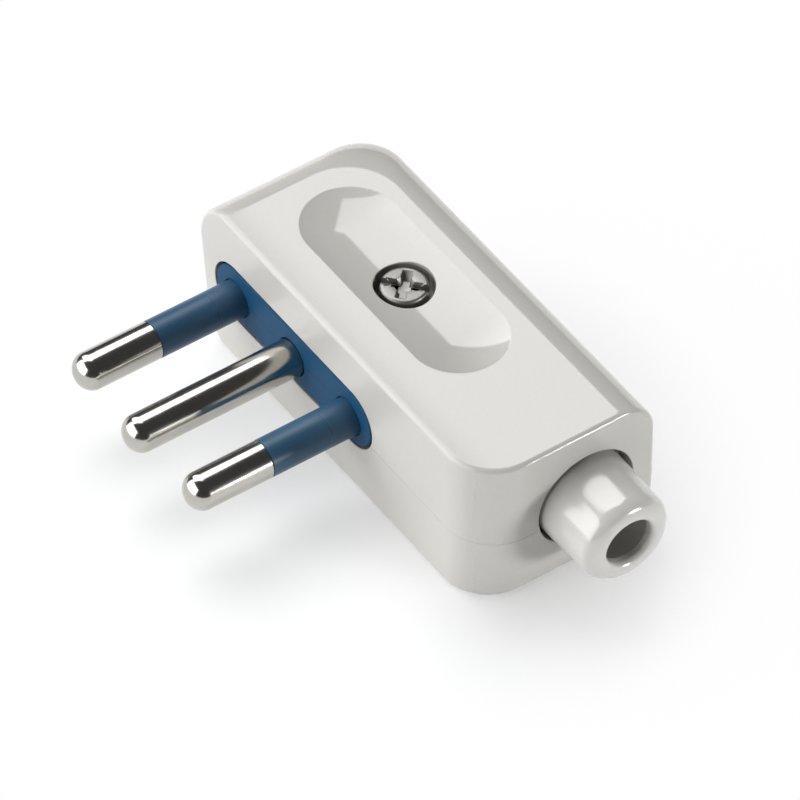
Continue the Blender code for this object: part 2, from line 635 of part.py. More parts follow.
def add_clamp_screw(name, side, frame, material):
    """Add one slotted pan-head screw through the clamp bar into its boss."""
    seat = CLAMP_BAR_HEIGHT + CLAMP_BAR_THICKNESS + GAP
    top, tip = seat + CLAMP_HEAD_HEIGHT, seat - GAP - CLAMP_BAR_THICKNESS - CLAMP_SCREW_DEPTH
    profile = []
    for step in range(ARC_FACETS + 1):
        turn = math.radians(90.0 * step / ARC_FACETS)
        radius = CLAMP_HEAD_RADIUS - CLAMP_HEAD_ROUNDING * (1.0 - math.sin(turn))
        profile.append((radius, top - CLAMP_HEAD_ROUNDING * (1.0 - math.cos(turn))))
    profile += [(CLAMP_HEAD_RADIUS, seat), (CLAMP_SCREW_RADIUS, seat),
                (CLAMP_SCREW_RADIUS, tip + CLAMP_SCREW_POINT), (CLAMP_POINT_RADIUS, tip)]
    y = OUTLET_Y + side * CLAMP_HALF_SPACING
    body = turned(profile, (CLAMP_X, y), "Z", facets=ROUND_FACETS // 2)
    screw = add_solid(name, body, frame, material)
    reach = CLAMP_HEAD_RADIUS + OVERRUN
    slot = block((CLAMP_X - reach, y - SCREW_SLOT_WIDTH / 2, top - SCREW_SLOT_DEPTH),
                 (CLAMP_X + reach, y + SCREW_SLOT_WIDTH / 2, top + OVERRUN))
    combine(screw, add_solid(f"{name}_slot", slot, frame), "DIFFERENCE")


def cut_common_openings(shell, frame):
    """Cut the carrier's window and the outlet's hole, which both shells share."""
    window = prism(stadium(NOSE_CENTRE, NOSE_HALF_LENGTH + FIT, NOSE_RADIUS + FIT),
                   -OVERRUN, WALL + SHORT_OVERRUN, "Y")
    hole = cylinder((OUTLET_Y, OUTLET_HEIGHT + OUTLET_HOLE_LIFT),
                    OUTLET_ROOT_RADIUS + OUTLET_CLEARANCE,
                    INNER_RIGHT - SHORT_OVERRUN, BODY_RIGHT + OVERRUN, "X")
    combine(shell, add_solid("carrier_window", window, frame), "DIFFERENCE")
    combine(shell, add_solid("outlet_hole", hole, frame), "DIFFERENCE")


def add_shell_blank(name, low, high, frame, material, lip=None):
    """Add one hollow half of the body between two heights, still without ribs."""
    shell = add_solid(name, lofted_body(outer_sizes()), frame, material)
    around = block((-BODY_LEFT - OVERRUN, -OVERRUN, low),
                   (BODY_RIGHT + OVERRUN, BODY_DEPTH + OVERRUN, high))
    combine(shell, add_solid(f"{name}_trim", around, frame), "INTERSECT")
    if lip is not None:
        combine(shell, add_solid(f"{name}_lip", lip, frame), "UNION")
    chamber = add_solid(f"{name}_chamber", lofted_body(inner_sizes()), frame)
    combine(shell, chamber, "DIFFERENCE")
    return shell


def cut_lip_rebate(shell, frame):
    """Cut the rebate at the parting line that the lower shell's lip stands in."""
    low, high = UPPER_FROM - SHORT_OVERRUN, LIP_TOP + GAP
    rebate = add_solid("lip_rebate", chamber_slab(LIP_THICKNESS + FIT, low, high), frame)
    core = add_solid("lip_core", chamber_slab(-GAP, low - SHORT_OVERRUN, high + SHORT_OVERRUN),
                     frame)
    combine(rebate, core, "DIFFERENCE")
    combine(shell, rebate, "DIFFERENCE")


def add_outlet_collar(shell, low, high, frame):
    """Add the plate behind the outlet's flange, cut half round for its neck."""
    right = FLANGE_LEFT - GAP
    left = right - OUTLET_COLLAR_WALL
    plate = block((left, WALL - GAP, low), (right, BODY_DEPTH - WALL + GAP, high))
    hole = cylinder((OUTLET_Y, OUTLET_HEIGHT), OUTLET_NECK_RADIUS + FIT, left - SHORT_OVERRUN,
                    right + SHORT_OVERRUN, "X")
    combine(shell, add_solid("outlet_collar", plate, frame), "UNION")
    combine(shell, add_solid("outlet_collar_hole", hole, frame), "DIFFERENCE")


def add_lower_shell(frame, material):
    """Add the lower shell: lip, nut boss and pillar, carrier rib, clamp bosses and saddle."""
    lip = chamber_slab(LIP_THICKNESS, LOWER_TO - SHORT_OVERRUN, LIP_TOP)
    shell = add_shell_blank("lower_shell", -OVERRUN, LOWER_TO, frame, material, lip)
    floor = WALL - GAP
    rib_front = CARRIER_FLANGE_BACK + GAP
    rib_top = PIN_HEIGHT - CARRIER_HALF_HEIGHT - GAP
    half = CARRIER_HALF_WIDTH - RIB_END_CLEARANCE
    centre = (SCREW_X, SCREW_Y)
    additions = [
        ("carrier_rib", block((-half, rib_front, floor), (half, rib_front + RIB, rib_top))),
        ("nut_boss", cylinder(centre, NUT_CORNER_RADIUS + FIT + NUT_WALL, floor, NUT_BOSS_TOP, "Z")),
        ("pillar", cylinder(centre, LOWER_PILLAR_RADIUS, floor, UPPER_BOSS_BOTTOM - GAP, "Z")),
        ("saddle", block(
            (CLAMP_X - CLAMP_BAR_WIDTH / 2, OUTLET_Y - SADDLE_HALF_LENGTH, floor),
            (CLAMP_X + CLAMP_BAR_WIDTH / 2, OUTLET_Y + SADDLE_HALF_LENGTH, SADDLE_TOP))),
    ]
    for side in (-1.0, 1.0):
        place = (CLAMP_X, OUTLET_Y + side * CLAMP_HALF_SPACING)
        boss = cylinder(place, CLAMP_BOSS_RADIUS, floor, CLAMP_BOSS_TOP, "Z", ROUND_FACETS // 2)
        additions.append(("clamp_boss", boss))
    for label, tool in additions:
        combine(shell, add_solid(f"lower_{label}", tool, frame), "UNION")
    add_outlet_collar(shell, floor, LOWER_TO, frame)
    cut_common_openings(shell, frame)
    pocket = prism(circle(centre, NUT_CORNER_RADIUS + FIT, 6), -OVERRUN, NUT_POCKET_TOP, "Z")
    shank = cylinder(centre, SHANK_RADIUS + FIT, 0.0, BODY_HEIGHT, "Z")
    groove = cylinder((OUTLET_Y, OUTLET_HEIGHT), OUTLET_BORE_RADIUS, CLAMP_X - CLAMP_BAR_WIDTH,
                      CLAMP_X + CLAMP_BAR_WIDTH, "X")
    cuts = [("nut_pocket", pocket), ("shank_hole", shank), ("saddle_groove", groove)]
    for side in (-1.0, 1.0):
        place = (CLAMP_X, OUTLET_Y + side * CLAMP_HALF_SPACING)
        low = CLAMP_BAR_HEIGHT - CLAMP_SCREW_DEPTH - GAP
        hole = cylinder(place, CLAMP_SCREW_RADIUS + FIT, low, BODY_HEIGHT, "Z", ROUND_FACETS // 2)
        cuts.append(("clamp_hole", hole))
    for label, tool in cuts:
        combine(shell, add_solid(f"lower_{label}", tool, frame), "DIFFERENCE")


def add_upper_shell(frame, material):
    """Add the upper shell: lip rebate, finger recess with its counterbore, boss and ribs."""
    shell = add_shell_blank("upper_shell", UPPER_FROM, BODY_HEIGHT + OVERRUN, frame, material)
    ceiling = INNER_TOP + GAP
    centre = (SCREW_X, SCREW_Y)
    pad_bottom = RECESS_FLOOR_Z - RECESS_FLOOR
    pad = prism(stadium(centre, RECESS_HALF_LENGTH, RECESS_HALF_WIDTH), pad_bottom, ceiling, "Z")
    boss = cylinder(centre, COUNTERBORE_RADIUS + BOSS_WALL, UPPER_BOSS_BOTTOM, ceiling, "Z")
    additions = [("recess_pad", pad), ("screw_boss", boss)]
    rib_front = CARRIER_FLANGE_BACK + GAP
    rib_bottom = PIN_HEIGHT + CARRIER_HALF_HEIGHT + GAP
    for x in (LINE_X, EARTH_X):
        clear = TERMINAL_SCREW_RADIUS + RIB_SCREW_CLEARANCE
        rib = block((x + clear, rib_front, rib_bottom),
                    (x + PIN_PITCH - clear, rib_front + RIB, ceiling))
        additions.append(("carrier_rib", rib))
    for label, tool in additions:
        combine(shell, add_solid(f"upper_{label}", tool, frame), "UNION")
    add_outlet_collar(shell, UPPER_FROM, ceiling, frame)
    cut_lip_rebate(shell, frame)
    cut_common_openings(shell, frame)
    radius = (RECESS_HALF_WIDTH ** 2 + RECESS_DEPTH ** 2) / (2.0 * RECESS_DEPTH)
    recess = capsule(radius, RECESS_HALF_LENGTH - RECESS_HALF_WIDTH,
                     (SCREW_X, SCREW_Y, RECESS_FLOOR_Z + radius))
    counterbore = cylinder(centre, COUNTERBORE_RADIUS, COUNTERBORE_FLOOR, BODY_HEIGHT + OVERRUN, "Z")
    shank = cylinder(centre, SHANK_RADIUS + FIT, PARTING_HEIGHT, BODY_HEIGHT, "Z")
    for label, tool in (("recess", recess), ("counterbore", counterbore), ("shank_hole", shank)):
        combine(shell, add_solid(f"upper_{label}", tool, frame), "DIFFERENCE")


def main():
    """Build the plug."""
    clear_scene()
    frame = make_frame()
    white = make_material("moulded_white", WHITE, 0.3, 0.0)
    outlet_white = make_material("outlet_white", WARM_WHITE, 0.35, 0.0)
    blue = make_material("moulded_blue", BLUE, 0.4, 0.0)
    sleeve_blue = make_material("sleeve_blue", BLUE, 0.45, 0.0)
    nickel = make_material("nickel_plate", NICKEL, 0.15, 1.0)
    steel = make_material("zinc_steel", STEEL, 0.35, 1.0)
    add_upper_shell(frame, white)
    add_lower_shell(frame, white)
    add_carrier(frame, blue)
    add_pin("earth_pin", EARTH_X, EARTH_TIP, False, frame, nickel)
    add_pin("line_pin", LINE_X, -PIN_REACH, True, frame, nickel)
    add_pin("neutral_pin", NEUTRAL_X, -PIN_REACH, True, frame, nickel)
    add_sleeve("line_sleeve", LINE_X, frame, sleeve_blue)
    add_sleeve("neutral_sleeve", NEUTRAL_X, frame, sleeve_blue)
    for name, x in (("earth", EARTH_X), ("line", LINE_X), ("neutral", NEUTRAL_X)):
        add_terminal_screw(f"{name}_terminal_screw", x, frame, steel)
    add_cover_screw(frame, nickel)
    add_cover_nut(frame, steel)
    add_cord_outlet(frame, outlet_white)
    add_clamp_bar(frame, white)
    add_clamp_screw("clamp_screw_front", -1.0, frame, steel)
    add_clamp_screw("clamp_screw_back", 1.0, frame, steel)


if __name__ == "__main__":
    main()
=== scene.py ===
"""Looks of an earthed mains plug with three round pins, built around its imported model.

The shells, the pin carrier, the pins, the sleeves, the cover screw and nut and the cord outlet
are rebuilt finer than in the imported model, in the same places. Lengths are in metres. Pieces
are made from the earth pin's axis (x = 0), the front face (y = 0) and the flat bottom (z = 0),
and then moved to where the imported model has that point.
"""

import math

import bmesh
import bpy
from mathutils import Matrix, Vector


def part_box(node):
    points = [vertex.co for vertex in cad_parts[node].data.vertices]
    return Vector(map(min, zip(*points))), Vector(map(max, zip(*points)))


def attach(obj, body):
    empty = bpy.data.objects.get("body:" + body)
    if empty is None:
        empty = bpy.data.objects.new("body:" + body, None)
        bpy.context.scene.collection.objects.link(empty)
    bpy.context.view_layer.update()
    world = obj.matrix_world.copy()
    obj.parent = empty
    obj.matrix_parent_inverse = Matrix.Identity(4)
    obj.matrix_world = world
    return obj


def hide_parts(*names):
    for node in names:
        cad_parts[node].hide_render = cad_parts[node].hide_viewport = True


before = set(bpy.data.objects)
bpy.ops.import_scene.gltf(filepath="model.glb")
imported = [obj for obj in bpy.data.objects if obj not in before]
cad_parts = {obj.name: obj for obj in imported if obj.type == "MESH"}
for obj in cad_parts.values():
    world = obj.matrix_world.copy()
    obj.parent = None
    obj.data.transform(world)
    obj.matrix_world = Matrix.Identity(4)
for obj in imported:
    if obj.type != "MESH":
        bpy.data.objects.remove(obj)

bl_info = {
    "name": "Earthed plug looks",
    "version": (1, 0, 0),
    "blender": (4, 5, 0),
    "location": "3D View > Sidebar > Plug",
    "description": "Builds the finished shells, pins and screws of an earthed plug, and its studio",
    "category": "Add Mesh",
}

MM = 0.001


def node_box(name):
    """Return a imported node's lowest and highest corners from the plug's own datum."""
    low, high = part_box(name)
    return low - DATUM, high - DATUM


def datum():
    """Return the point of the world on the earth pin's axis, the front face and the bottom."""
    pin_low, pin_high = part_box("earth_pin")
    shell_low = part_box("lower_shell")[0]
    return Vector(((pin_low.x + pin_high.x) / 2, shell_low.y, shell_low.z))


DATUM = datum()
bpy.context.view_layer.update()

# Body outside. An edge is (width, drop); the corners are front left, front right, back right,
# back left and back left at the top.
SIDES = (("left", -1.0), ("right", 1.0), ("front", -1.0), ("back", 1.0))
BODY_LEFT = -node_box("upper_shell")[0].x
BODY_RIGHT = node_box("upper_shell")[1].x
BODY_DEPTH = node_box("upper_shell")[1].y
BODY_HEIGHT = node_box("upper_shell")[1].z
PACKED_SEAM = 0.3 * MM
PARTING_HEIGHT = node_box("upper_shell")[0].z - PACKED_SEAM / 2
LEFT_SLOPE_SHARE = 0.13
END_DRAFT_SHARE = 0.02
CORNERS = (0.6 * MM, 5.5 * MM, 0.6 * MM, 4.4 * MM, 6.1 * MM)
TOP_EDGES = {
    "left": (4.45 * MM, 5.05 * MM), "front": (0.6 * MM, 0.6 * MM),
    "right": (0.5 * MM, 0.5 * MM), "back": (4.4 * MM, 4.1 * MM),
}
BOTTOM_EDGES = {
    "left": (3.5 * MM, 3.5 * MM), "front": (0.6 * MM, 0.6 * MM),
    "right": (1.2 * MM, 1.2 * MM), "back": (1.5 * MM, 1.5 * MM),
}
LARGE_DROP = 2.0 * MM
LARGE_STEPS = 24
SMALL_STEPS = 8
LEVEL_MERGE = 0.002 * MM

# Body inside
WALL = 1.8 * MM
END_WALL = 2.0 * MM
LEFT_WALL = 1.4 * MM
INNER_ROUNDING = 0.5 * MM
LIP_THICKNESS = 0.5 * MM
LIP_TOP = PARTING_HEIGHT + 0.65 * MM
RIB = 1.2 * MM
GAP = 0.3 * MM
FIT = 0.25 * MM
OVERRUN = 2.0 * MM

# Pins and their carrier
PIN_RADIUS = 2.0 * MM
PIN_PITCH = 9.5 * MM
PIN_HEIGHT = 8.7 * MM
PIN_TIP = 1.75 * MM
PIN_TIP_STEPS = 32
PIN_END_EDGE = 0.06 * MM
SLEEVE_REACH = 9.9 * MM
SLEEVE_WALL = 0.5 * MM
SLEEVE_FIT = 0.2 * MM
SLEEVE_EDGE = 0.08 * MM
SLEEVE_EDGE_SHARE = 0.3
SLEEVE_END_GAP = 0.04 * MM
MOULD_RING = -3.1 * MM
MOULD_RING_DEPTH = 0.03 * MM
MOULD_RING_HALF_WIDTHS = (0.1 * MM, 0.04 * MM)
BARREL_RADIUS = 2.8 * MM
BARREL_FRONT = 3.9 * MM
BARREL_BACK = 7.9 * MM
BARREL_EDGE = 0.2 * MM
TERMINAL_Y = (BARREL_FRONT + BARREL_BACK) / 2
WIRE_HOLE = 1.3 * MM
WIRE_HOLE_DEPTH = 3.0 * MM
TERMINAL_SCREW = 1.2 * MM
NOSE_CENTRE = (0.2 * MM, 9.15 * MM)
NOSE_HALF_LENGTH = 13.1 * MM
NOSE_RADIUS = 3.2 * MM
NOSE_REACH = NOSE_HALF_LENGTH - NOSE_RADIUS
NOSE_FRONT = 0.02 * MM
NOSE_EDGE = 0.25 * MM
NOSE_STEPS = 6
MOULD_LINE = 9.1 * MM
MOULD_LINE_WIDTH = 0.14 * MM
MOULD_LINE_REACH = (-0.06 * MM, 0.05 * MM)
PIN_HOLE_FIT = 0.08 * MM
PIN_HOLE_EDGE = 0.08 * MM
CARRIER_HALF_WIDTH = 12.8 * MM
CARRIER_FLANGE = (2.1 * MM, 3.6 * MM, 4.3 * MM)
CARRIER_BACK = 7.2 * MM
CARRIER_HALF_HEIGHT = 3.8 * MM

# Finger recess, cover screw and nut
SCREW_PLACE = (4.75 * MM, 9.9 * MM)
RECESS_HALF_LENGTH = 14.0 * MM
RECESS_HALF_WIDTH = 5.1 * MM
RECESS_DEPTH = 1.0 * MM
RECESS_FLOOR = 1.5 * MM
RECESS_TURN = 30.0
RECESS_STEPS = 33
HEAD_RADIUS = 2.45 * MM
HEAD_TOP = 17.15 * MM
HEAD_SEAT = 15.25 * MM
HEAD_ROUNDING = 0.35 * MM
HEAD_RING = 0.5 * MM
HEAD_SEAT_EDGE = 0.1 * MM
HEAD_EASING = 0.035 * MM
CROSS = (1.9 * MM, 0.55 * MM, 0.35 * MM)
CROSS_LEVELS = ((1.12, -0.3 * MM), (1.0, 0.0), (0.7, 0.75 * MM), (0.64, 0.9 * MM))
CORE = ((1.0 * MM, 0.2 * MM), (0.92 * MM, -0.1 * MM), (0.62 * MM, -0.8 * MM),
        (0.05 * MM, -0.95 * MM))
SLOT_DEPTH = 0.75 * MM
COUNTERBORE = (3.05 * MM, 14.95 * MM)
BOSS_WALL = 1.1 * MM
BOSS_BOTTOM = 13.35 * MM
SHANK_RADIUS = 1.45 * MM
SHANK_POINT = 0.3 * MM
THREAD_TOP = 6.0 * MM
THREAD_PITCH = 0.5 * MM
THREAD_DEPTH = 0.25 * MM
NUT_CORNER = 5.5 * MM / math.sqrt(3.0)
NUT_RANGE = (0.4 * MM, 2.8 * MM)
NUT_CHAMFER = 0.35 * MM
NUT_FACE_SHARE = 0.97
NUT_MARGIN = 0.02 * MM
NUT_MOUTH = 0.15 * MM
NUT_THREAD_FIT = 0.05 * MM
NUT_WALL = 1.0 * MM
NUT_BOSS_TOP = 4.5 * MM
PILLAR_RADIUS = 2.4 * MM

# Cord outlet and clamp
OUTLET_PLACE = (12.6 * MM, 9.0 * MM)
OUTLET_HOLE = (5.55 * MM, 0.15 * MM)
OUTLET_END = node_box("cord_outlet")[1].x
OUTLET_ROOT = 5.15 * MM
OUTLET_MOUTH = 4.95 * MM
OUTLET_ROUNDING = 1.5 * MM
OUTLET_INNER = 3.4 * MM
OUTLET_NECK = (25.2 * MM, 27.6 * MM, 4.4 * MM)
OUTLET_FLANGE = (29.0 * MM, 6.0 * MM)
OUTLET_EDGE = 0.2 * MM
OUTLET_BORE_EDGE = 0.6 * MM
OUTLET_LIP = 1.1 * MM
OUTLET_RINGS = 9
OUTLET_STEPS = 12
COLLAR_WALL = 1.2 * MM
CLAMP_X = 20.9 * MM
CLAMP_HALF_SPACING = 4.3 * MM
CLAMP_HALF_WIDTH = 2.1 * MM
CLAMP_BOSS = (1.75 * MM, 10.2 * MM)
CLAMP_HOLE = (1.25 * MM, 5.2 * MM)
CLAMP_BORE = 2.95 * MM
SADDLE = (3.0 * MM, 7.0 * MM)

# Meshes: facets of a round, the tags that a carving can carry, its rims, how near the surface's
# normal has to be to the face's, the hair of radius that a turned solid keeps at its axis, and
# the angles in degrees from which edges are sharp
FACETS = 96
TAG_SLOTS = 24
RIM_SEGMENTS = 2
RIM_ANGLE = math.radians(12.0)
WELD = 1e-7
NORMAL_STEP = 0.001 * MM
LEVEL_FACE_SHARE = 0.25
ROUND_FACE_SHARE = 0.7
SHARED_NORMAL_SHARE = 0.3
RIM_NORMAL_SHARE = 0.5
AXIS_RADIUS = 0.02 * MM
FRONT_FACE_SHARE = 0.999
SHARP = 35.0
SLEEVE_SHARP = 12.0
SCREW_SHARP = 30.0
NUT_SHARP = 25.0

# Finishes
SHELL_GLOSS = {"roughness": 0.06, "ior": 1.6, "shell": True}
OUTLET_GLOSS = {"roughness": 0.13, "ior": 1.8}
CARRIER_SATIN = {"roughness": 0.5, "grain_size": 0.2 * MM, "depth": 3e-6, "gloss": 0.12}
SLEEVE_SATIN = {"roughness": 0.33, "grain_size": 0.15 * MM, "depth": 2e-6, "gloss": 0.42}
CLAMP_SATIN = {"roughness": 0.35, "grain_size": 0.3 * MM, "depth": 3e-6, "gloss": 0.5}
PIN_PLATE = {"roughness": 0.11, "along": "Y", "depth": 4e-7}
SCREW_PLATE = {"roughness": 0.42, "along": "X", "depth": 1.5e-6}
ZINC_PLATE = {"roughness": 0.28, "along": "Z", "depth": 1e-6}
SATIN_WALLS = 0.22
SATIN_BAND = (0.1 * MM, 4.5 * MM)
# Painted shade: the shells' colour is darkened inside the cover screw's counterbore, where shade
# falls; the two bands ease it in at its wall and at its rim
COUNTERBORE_SHADE = (0.28, 0.27, 0.25, 1.0)
SHADE_OUTSIDE_BAND = (0.02 * MM, 0.06 * MM)
SHADE_ABOVE_BAND = (-0.15 * MM, 0.02 * MM)
WHITE = (1.0, 1.0, 1.0, 1.0)
LIFT_BAND = (20.0 * MM, 40.0 * MM)

# Studio: a lamp is (place from the aim, width, height); the key lamp lies by its corner
FRONT_LAMP = ((-0.5, -1.25, 0.55), 2.0, 1.2)
SIDE_LAMP = ((1.1, 0.66, 0.16), 0.3, 0.2)
KEY_CORNER = Vector((-0.135, 0.276, 1.245))
KEY_ACROSS = Vector((-0.6578, 0.5871, -0.4718))
KEY_DOWN = Vector((-0.3930, -0.8019, -0.4500))
KEY_SIZE = (0.75, 1.0)
FLOOR_RADIUS = 3.0
FLOOR_DEPTH = 0.02

# Camera
VIEW_AZIMUTH = math.radians(54.058)
VIEW_ELEVATION = math.radians(47.093)
VIEW_ROLL = math.radians(1.121)
VIEW_DISTANCE = 824.964 * MM
VIEW_TARGET = Vector((6.0, 3.0, 9.0)) * MM
VIEW_SIDE = 4.6126 * MM
VIEW_RISE = -1.9857 * MM
LENS = 384.21
SENSOR_WIDTH = 36.0
CLIP = (0.05, 10.0)


def length(name, description, default, low=0.0, **limits):
    """Return a property for a fine length."""
    return bpy.props.FloatProperty(
        name=name, description=description, default=default, min=low, precision=5, unit="LENGTH",
        subtype="DISTANCE", **limits)


def tint(name, description, default):
    """Return a property for a colour."""
    return bpy.props.FloatVectorProperty(
        name=name, description=description, default=default, min=0.0, max=1.0, subtype="COLOR")


def level(name, description, default):
    """Return a property for a brightness."""
    return bpy.props.FloatProperty(name=name, description=description, default=default, min=0.0)


def share(name, description, default):
    """Return a property for a share from 0 to 1."""
    return bpy.props.FloatProperty(
        name=name, description=description, default=default, min=0.0, max=1.0, subtype="FACTOR")


class PlugSizes(bpy.types.PropertyGroup):
    """Fine sizes of the plug's finished pieces."""

    seam: length("Parting gap", "Open gap between the two shells", 0.012 * MM, max=0.3 * MM)
    seam_edge: length(
        "Parting edge", "Rounding of the shells' edges at the parting line", 0.03 * MM)
    rim_edge: length(
        "Rim edge", "Rounding of the edges of the recess and the openings", 0.1 * MM)
    bore_radius: length(
        "Cord bore radius", "Radius of the hole that the cord leaves through", 2.6 * MM, 1.0 * MM)
    slot_angle: bpy.props.FloatProperty(
        name="Screw angle", description="How far the cover screw's slot is turned from the length",
        default=math.radians(43.0), unit="ROTATION", subtype="ANGLE")
    slot_width: length(
        "Screw slot width", "Width of the slot across the cover screw's head", 0.85 * MM, 0.2 * MM)


class PlugColours(bpy.types.PropertyGroup):
    """Colours of the plug's finishes."""

    shell: tint("Shell", "Colour of the glossy moulded shells", (0.52, 0.508, 0.48))
    outlet: tint("Cord outlet", "Colour of the cord outlet bush", (0.58, 0.57, 0.545))
    carrier: tint("Pin carrier", "Colour of the insulating pin carrier", (0.010, 0.062, 0.138))
    sleeve: tint("Sleeves", "Colour of the pins' insulating sleeves", (0.026, 0.082, 0.152))
    nickel: tint("Nickel plate", "Colour of the plated pins", (0.52, 0.505, 0.47))
    screw: tint("Cover screw", "Colour of the cover screw's dull plating", (0.3, 0.295, 0.278))
    zinc: tint("Zinc plate", "Colour of the nut and the small screws", (0.62, 0.62, 0.60))


class PlugStudio(bpy.types.PropertyGroup):
    """Levels of the studio's lamps and the colour of its floor."""

    key_level: level("Key lamp", "Brightness of the large soft lamp's face", 4.0)
    front_level: level("Front lamp", "Brightness of the front lamp's face", 3.55)
    side_level: level("Side lamp", "Brightness of the right-hand lamp's face", 49.0)
    room_level: level("Room", "Brightness of the dim room around", 0.06)
    floor: tint("Floor", "Colour of the floor", (0.96, 0.965, 0.97))
    near_lift: share("Lift near", "Share of plain white in views of the floor by the plug", 0.3)
    far_lift: share("Lift far", "Share of plain white in views of the floor further out", 0.95)


class Value:
    """A shader socket that takes part in Python sums."""

    def __init__(self, tree, socket):
        self.tree, self.socket = tree, socket

    def sum_with(self, operation, first, second):
        """Return the result of a Math node on two values or numbers."""
        node = self.tree.nodes.new("ShaderNodeMath")
        node.operation = operation
        for socket, term in zip(node.inputs, (first, second)):
            if isinstance(term, Value):
                self.tree.links.new(term.socket, socket)
            else:
                socket.default_value = term
        return Value(self.tree, node.outputs[0])

    def __add__(self, other):
        return self.sum_with("ADD", self, other)

    def __radd__(self, other):
        return self.sum_with("ADD", other, self)

    def __sub__(self, other):
        return self.sum_with("SUBTRACT", self, other)

    def __rsub__(self, other):
        return self.sum_with("SUBTRACT", other, self)

    def __mul__(self, other):
        return self.sum_with("MULTIPLY", self, other)

    def __rmul__(self, other):
        return self.sum_with("MULTIPLY", other, self)


class Finish:
    """A material under construction, with one Principled shader."""

    def __init__(self, name):
        self.material = bpy.data.materials.new(name)
        self.material.use_nodes = True
        self.tree = self.material.node_tree
        self.shader = self.tree.nodes["Principled BSDF"]

    def feed(self, socket, value):
        """Link a value to a socket, or set a plain number or colour on it."""
        if isinstance(value, Value):
            self.tree.links.new(value.socket, socket)
        else:
            socket.default_value = value

    def node(self, kind, settings=None, output=0, **inputs):
        """Add a node, its settings first and then its sockets, and return one output."""
        made = self.tree.nodes.new(kind)
        for name, value in (settings or {}).items():
            setattr(made, name, value)
        for name, value in inputs.items():
            self.feed(made.inputs[name.replace("_", " ")], value)
        return Value(self.tree, made.outputs[output])

    def own(self):
        """Return the object's own coordinates."""
        return self.node("ShaderNodeTexCoord", output="Object")

    def place(self, **mapping):
        """Return the object's own coordinates, stretched or moved."""
        return self.node("ShaderNodeMapping", {"vector_type": "POINT"}, Vector=self.own(),
                         **mapping)

    def along(self, axis):
        """Return one of the object's own coordinates."""
        return self.node("ShaderNodeSeparateXYZ", output=axis, Vector=self.own())

    def distance(self, where):
        """Return how far a place lies from zero."""
        return self.node("ShaderNodeVectorMath", {"operation": "LENGTH"}, output="Value",
                         Vector=where)

    def noise(self, size, detail, rough, stretch=(1.0, 1.0, 1.0)):
        """Return a noise whose blobs are about one size across, in metres."""
        return self.node("ShaderNodeTexNoise", {"noise_dimensions": "3D"}, output="Fac",
                         Vector=self.place(Scale=stretch), Scale=1.0 / size, Detail=detail,
                         Roughness=rough)

    def band(self, value, low, high):
        """Return 0 below one level of a value and 1 above another, eased in between."""
        return self.node("ShaderNodeMapRange", {"interpolation_type": "SMOOTHSTEP"},
                         Value=value, From_Min=low, From_Max=high)

    def blend(self, factor, first, second):
        """Return a mix of two colours."""
        made = self.tree.nodes.new("ShaderNodeMix")
        made.data_type = "RGBA"
        self.feed(made.inputs[0], factor)
        self.feed(made.inputs[6], first)
        self.feed(made.inputs[7], second)
        return Value(self.tree, made.outputs[2])

    def show(self, factor, first, second):
        """Feed the material's surface from a mix of two shaders."""
        made = self.tree.nodes.new("ShaderNodeMixShader")
        for socket, value in zip(made.inputs, (factor, first, second)):
            self.feed(socket, value)
        self.tree.links.new(made.outputs[0], self.tree.nodes["Material Output"].inputs["Surface"])

    def bump(self, height, distance):
        """Feed the shader's normal from a height that stands for a distance in metres."""
        self.feed(self.shader.inputs["Normal"], self.node(
            "ShaderNodeBump", output="Normal", Strength=1.0, Distance=distance, Height=height))

    def set(self, **inputs):
        """Set or feed the shader's own sockets."""
        for name, value in inputs.items():
            self.feed(self.shader.inputs[name.replace("_", " ")], value)
        return self.material


def shade(colour, factor):
    """Return a colour darkened or lightened by a factor, with full alpha."""
    return tuple(min(1.0, part * factor) for part in colour) + (1.0,)


def moulded_gloss(name, colour, roughness, ior, shell=False):
    """Return a glossy moulded plastic: faint flow tones, a trace of ripple and fine scuffs.

    On the shells the front is more satin, and the cover screw's counterbore is painted darker as
    painted shade.
    """
    finish = Finish(name)
    flow = finish.noise(9.0 * MM, 3.0, 0.55)
    ripple = finish.noise(1.1 * MM, 1.0, 0.4)
    grain = finish.noise(0.12 * MM, 2.0, 0.6)
    speckle = finish.noise(0.45 * MM, 2.0, 0.6)
    scuff = finish.band(finish.noise(0.9 * MM, 4.0, 0.75, (1.0, 0.12, 1.0)), 0.62, 0.75)
    tone = finish.blend(flow, shade(colour, 0.975), shade(colour, 1.025))
    tone = finish.blend(speckle, finish.blend(0.5, tone, shade(colour, 0.94)),
                        finish.blend(0.5, tone, shade(colour, 1.06)))
    tone = finish.blend(scuff * 0.05, tone, shade(colour, 1.12))
    gloss = roughness + 0.03 * flow + 0.02 * grain + 0.06 * scuff
    if shell:
        behind = finish.band(finish.along("Y"), *(DATUM.y + place for place in SATIN_BAND))
        gloss = gloss + (1.0 - behind) * SATIN_WALLS
        # Painted shade: the colour darkens inside the cover screw's counterbore
        tone = finish.blend(counterbore_shade_mask(finish), tone, COUNTERBORE_SHADE)
    finish.bump(ripple + grain * 0.12, 1.2e-6)
    return finish.set(Base_Color=tone, Roughness=gloss, IOR=ior)


def counterbore_shade_mask(finish):
    """Return where the painted shade goes: 1 inside the cover screw's counterbore and 0 elsewhere.
    """
    axis = DATUM + Vector((*SCREW_PLACE, 0.0))
    rim = DATUM.z + BODY_HEIGHT - RECESS_DEPTH
    across = finish.place(Location=(-axis.x, -axis.y, 0.0), Scale=(1.0, 1.0, 0.0))
    outside = finish.band(finish.distance(across),
                          *(COUNTERBORE[0] + place for place in SHADE_OUTSIDE_BAND))
    above = finish.band(finish.along("Z"), *(rim + place for place in SHADE_ABOVE_BAND))
    return (1.0 - outside) * (1.0 - above)


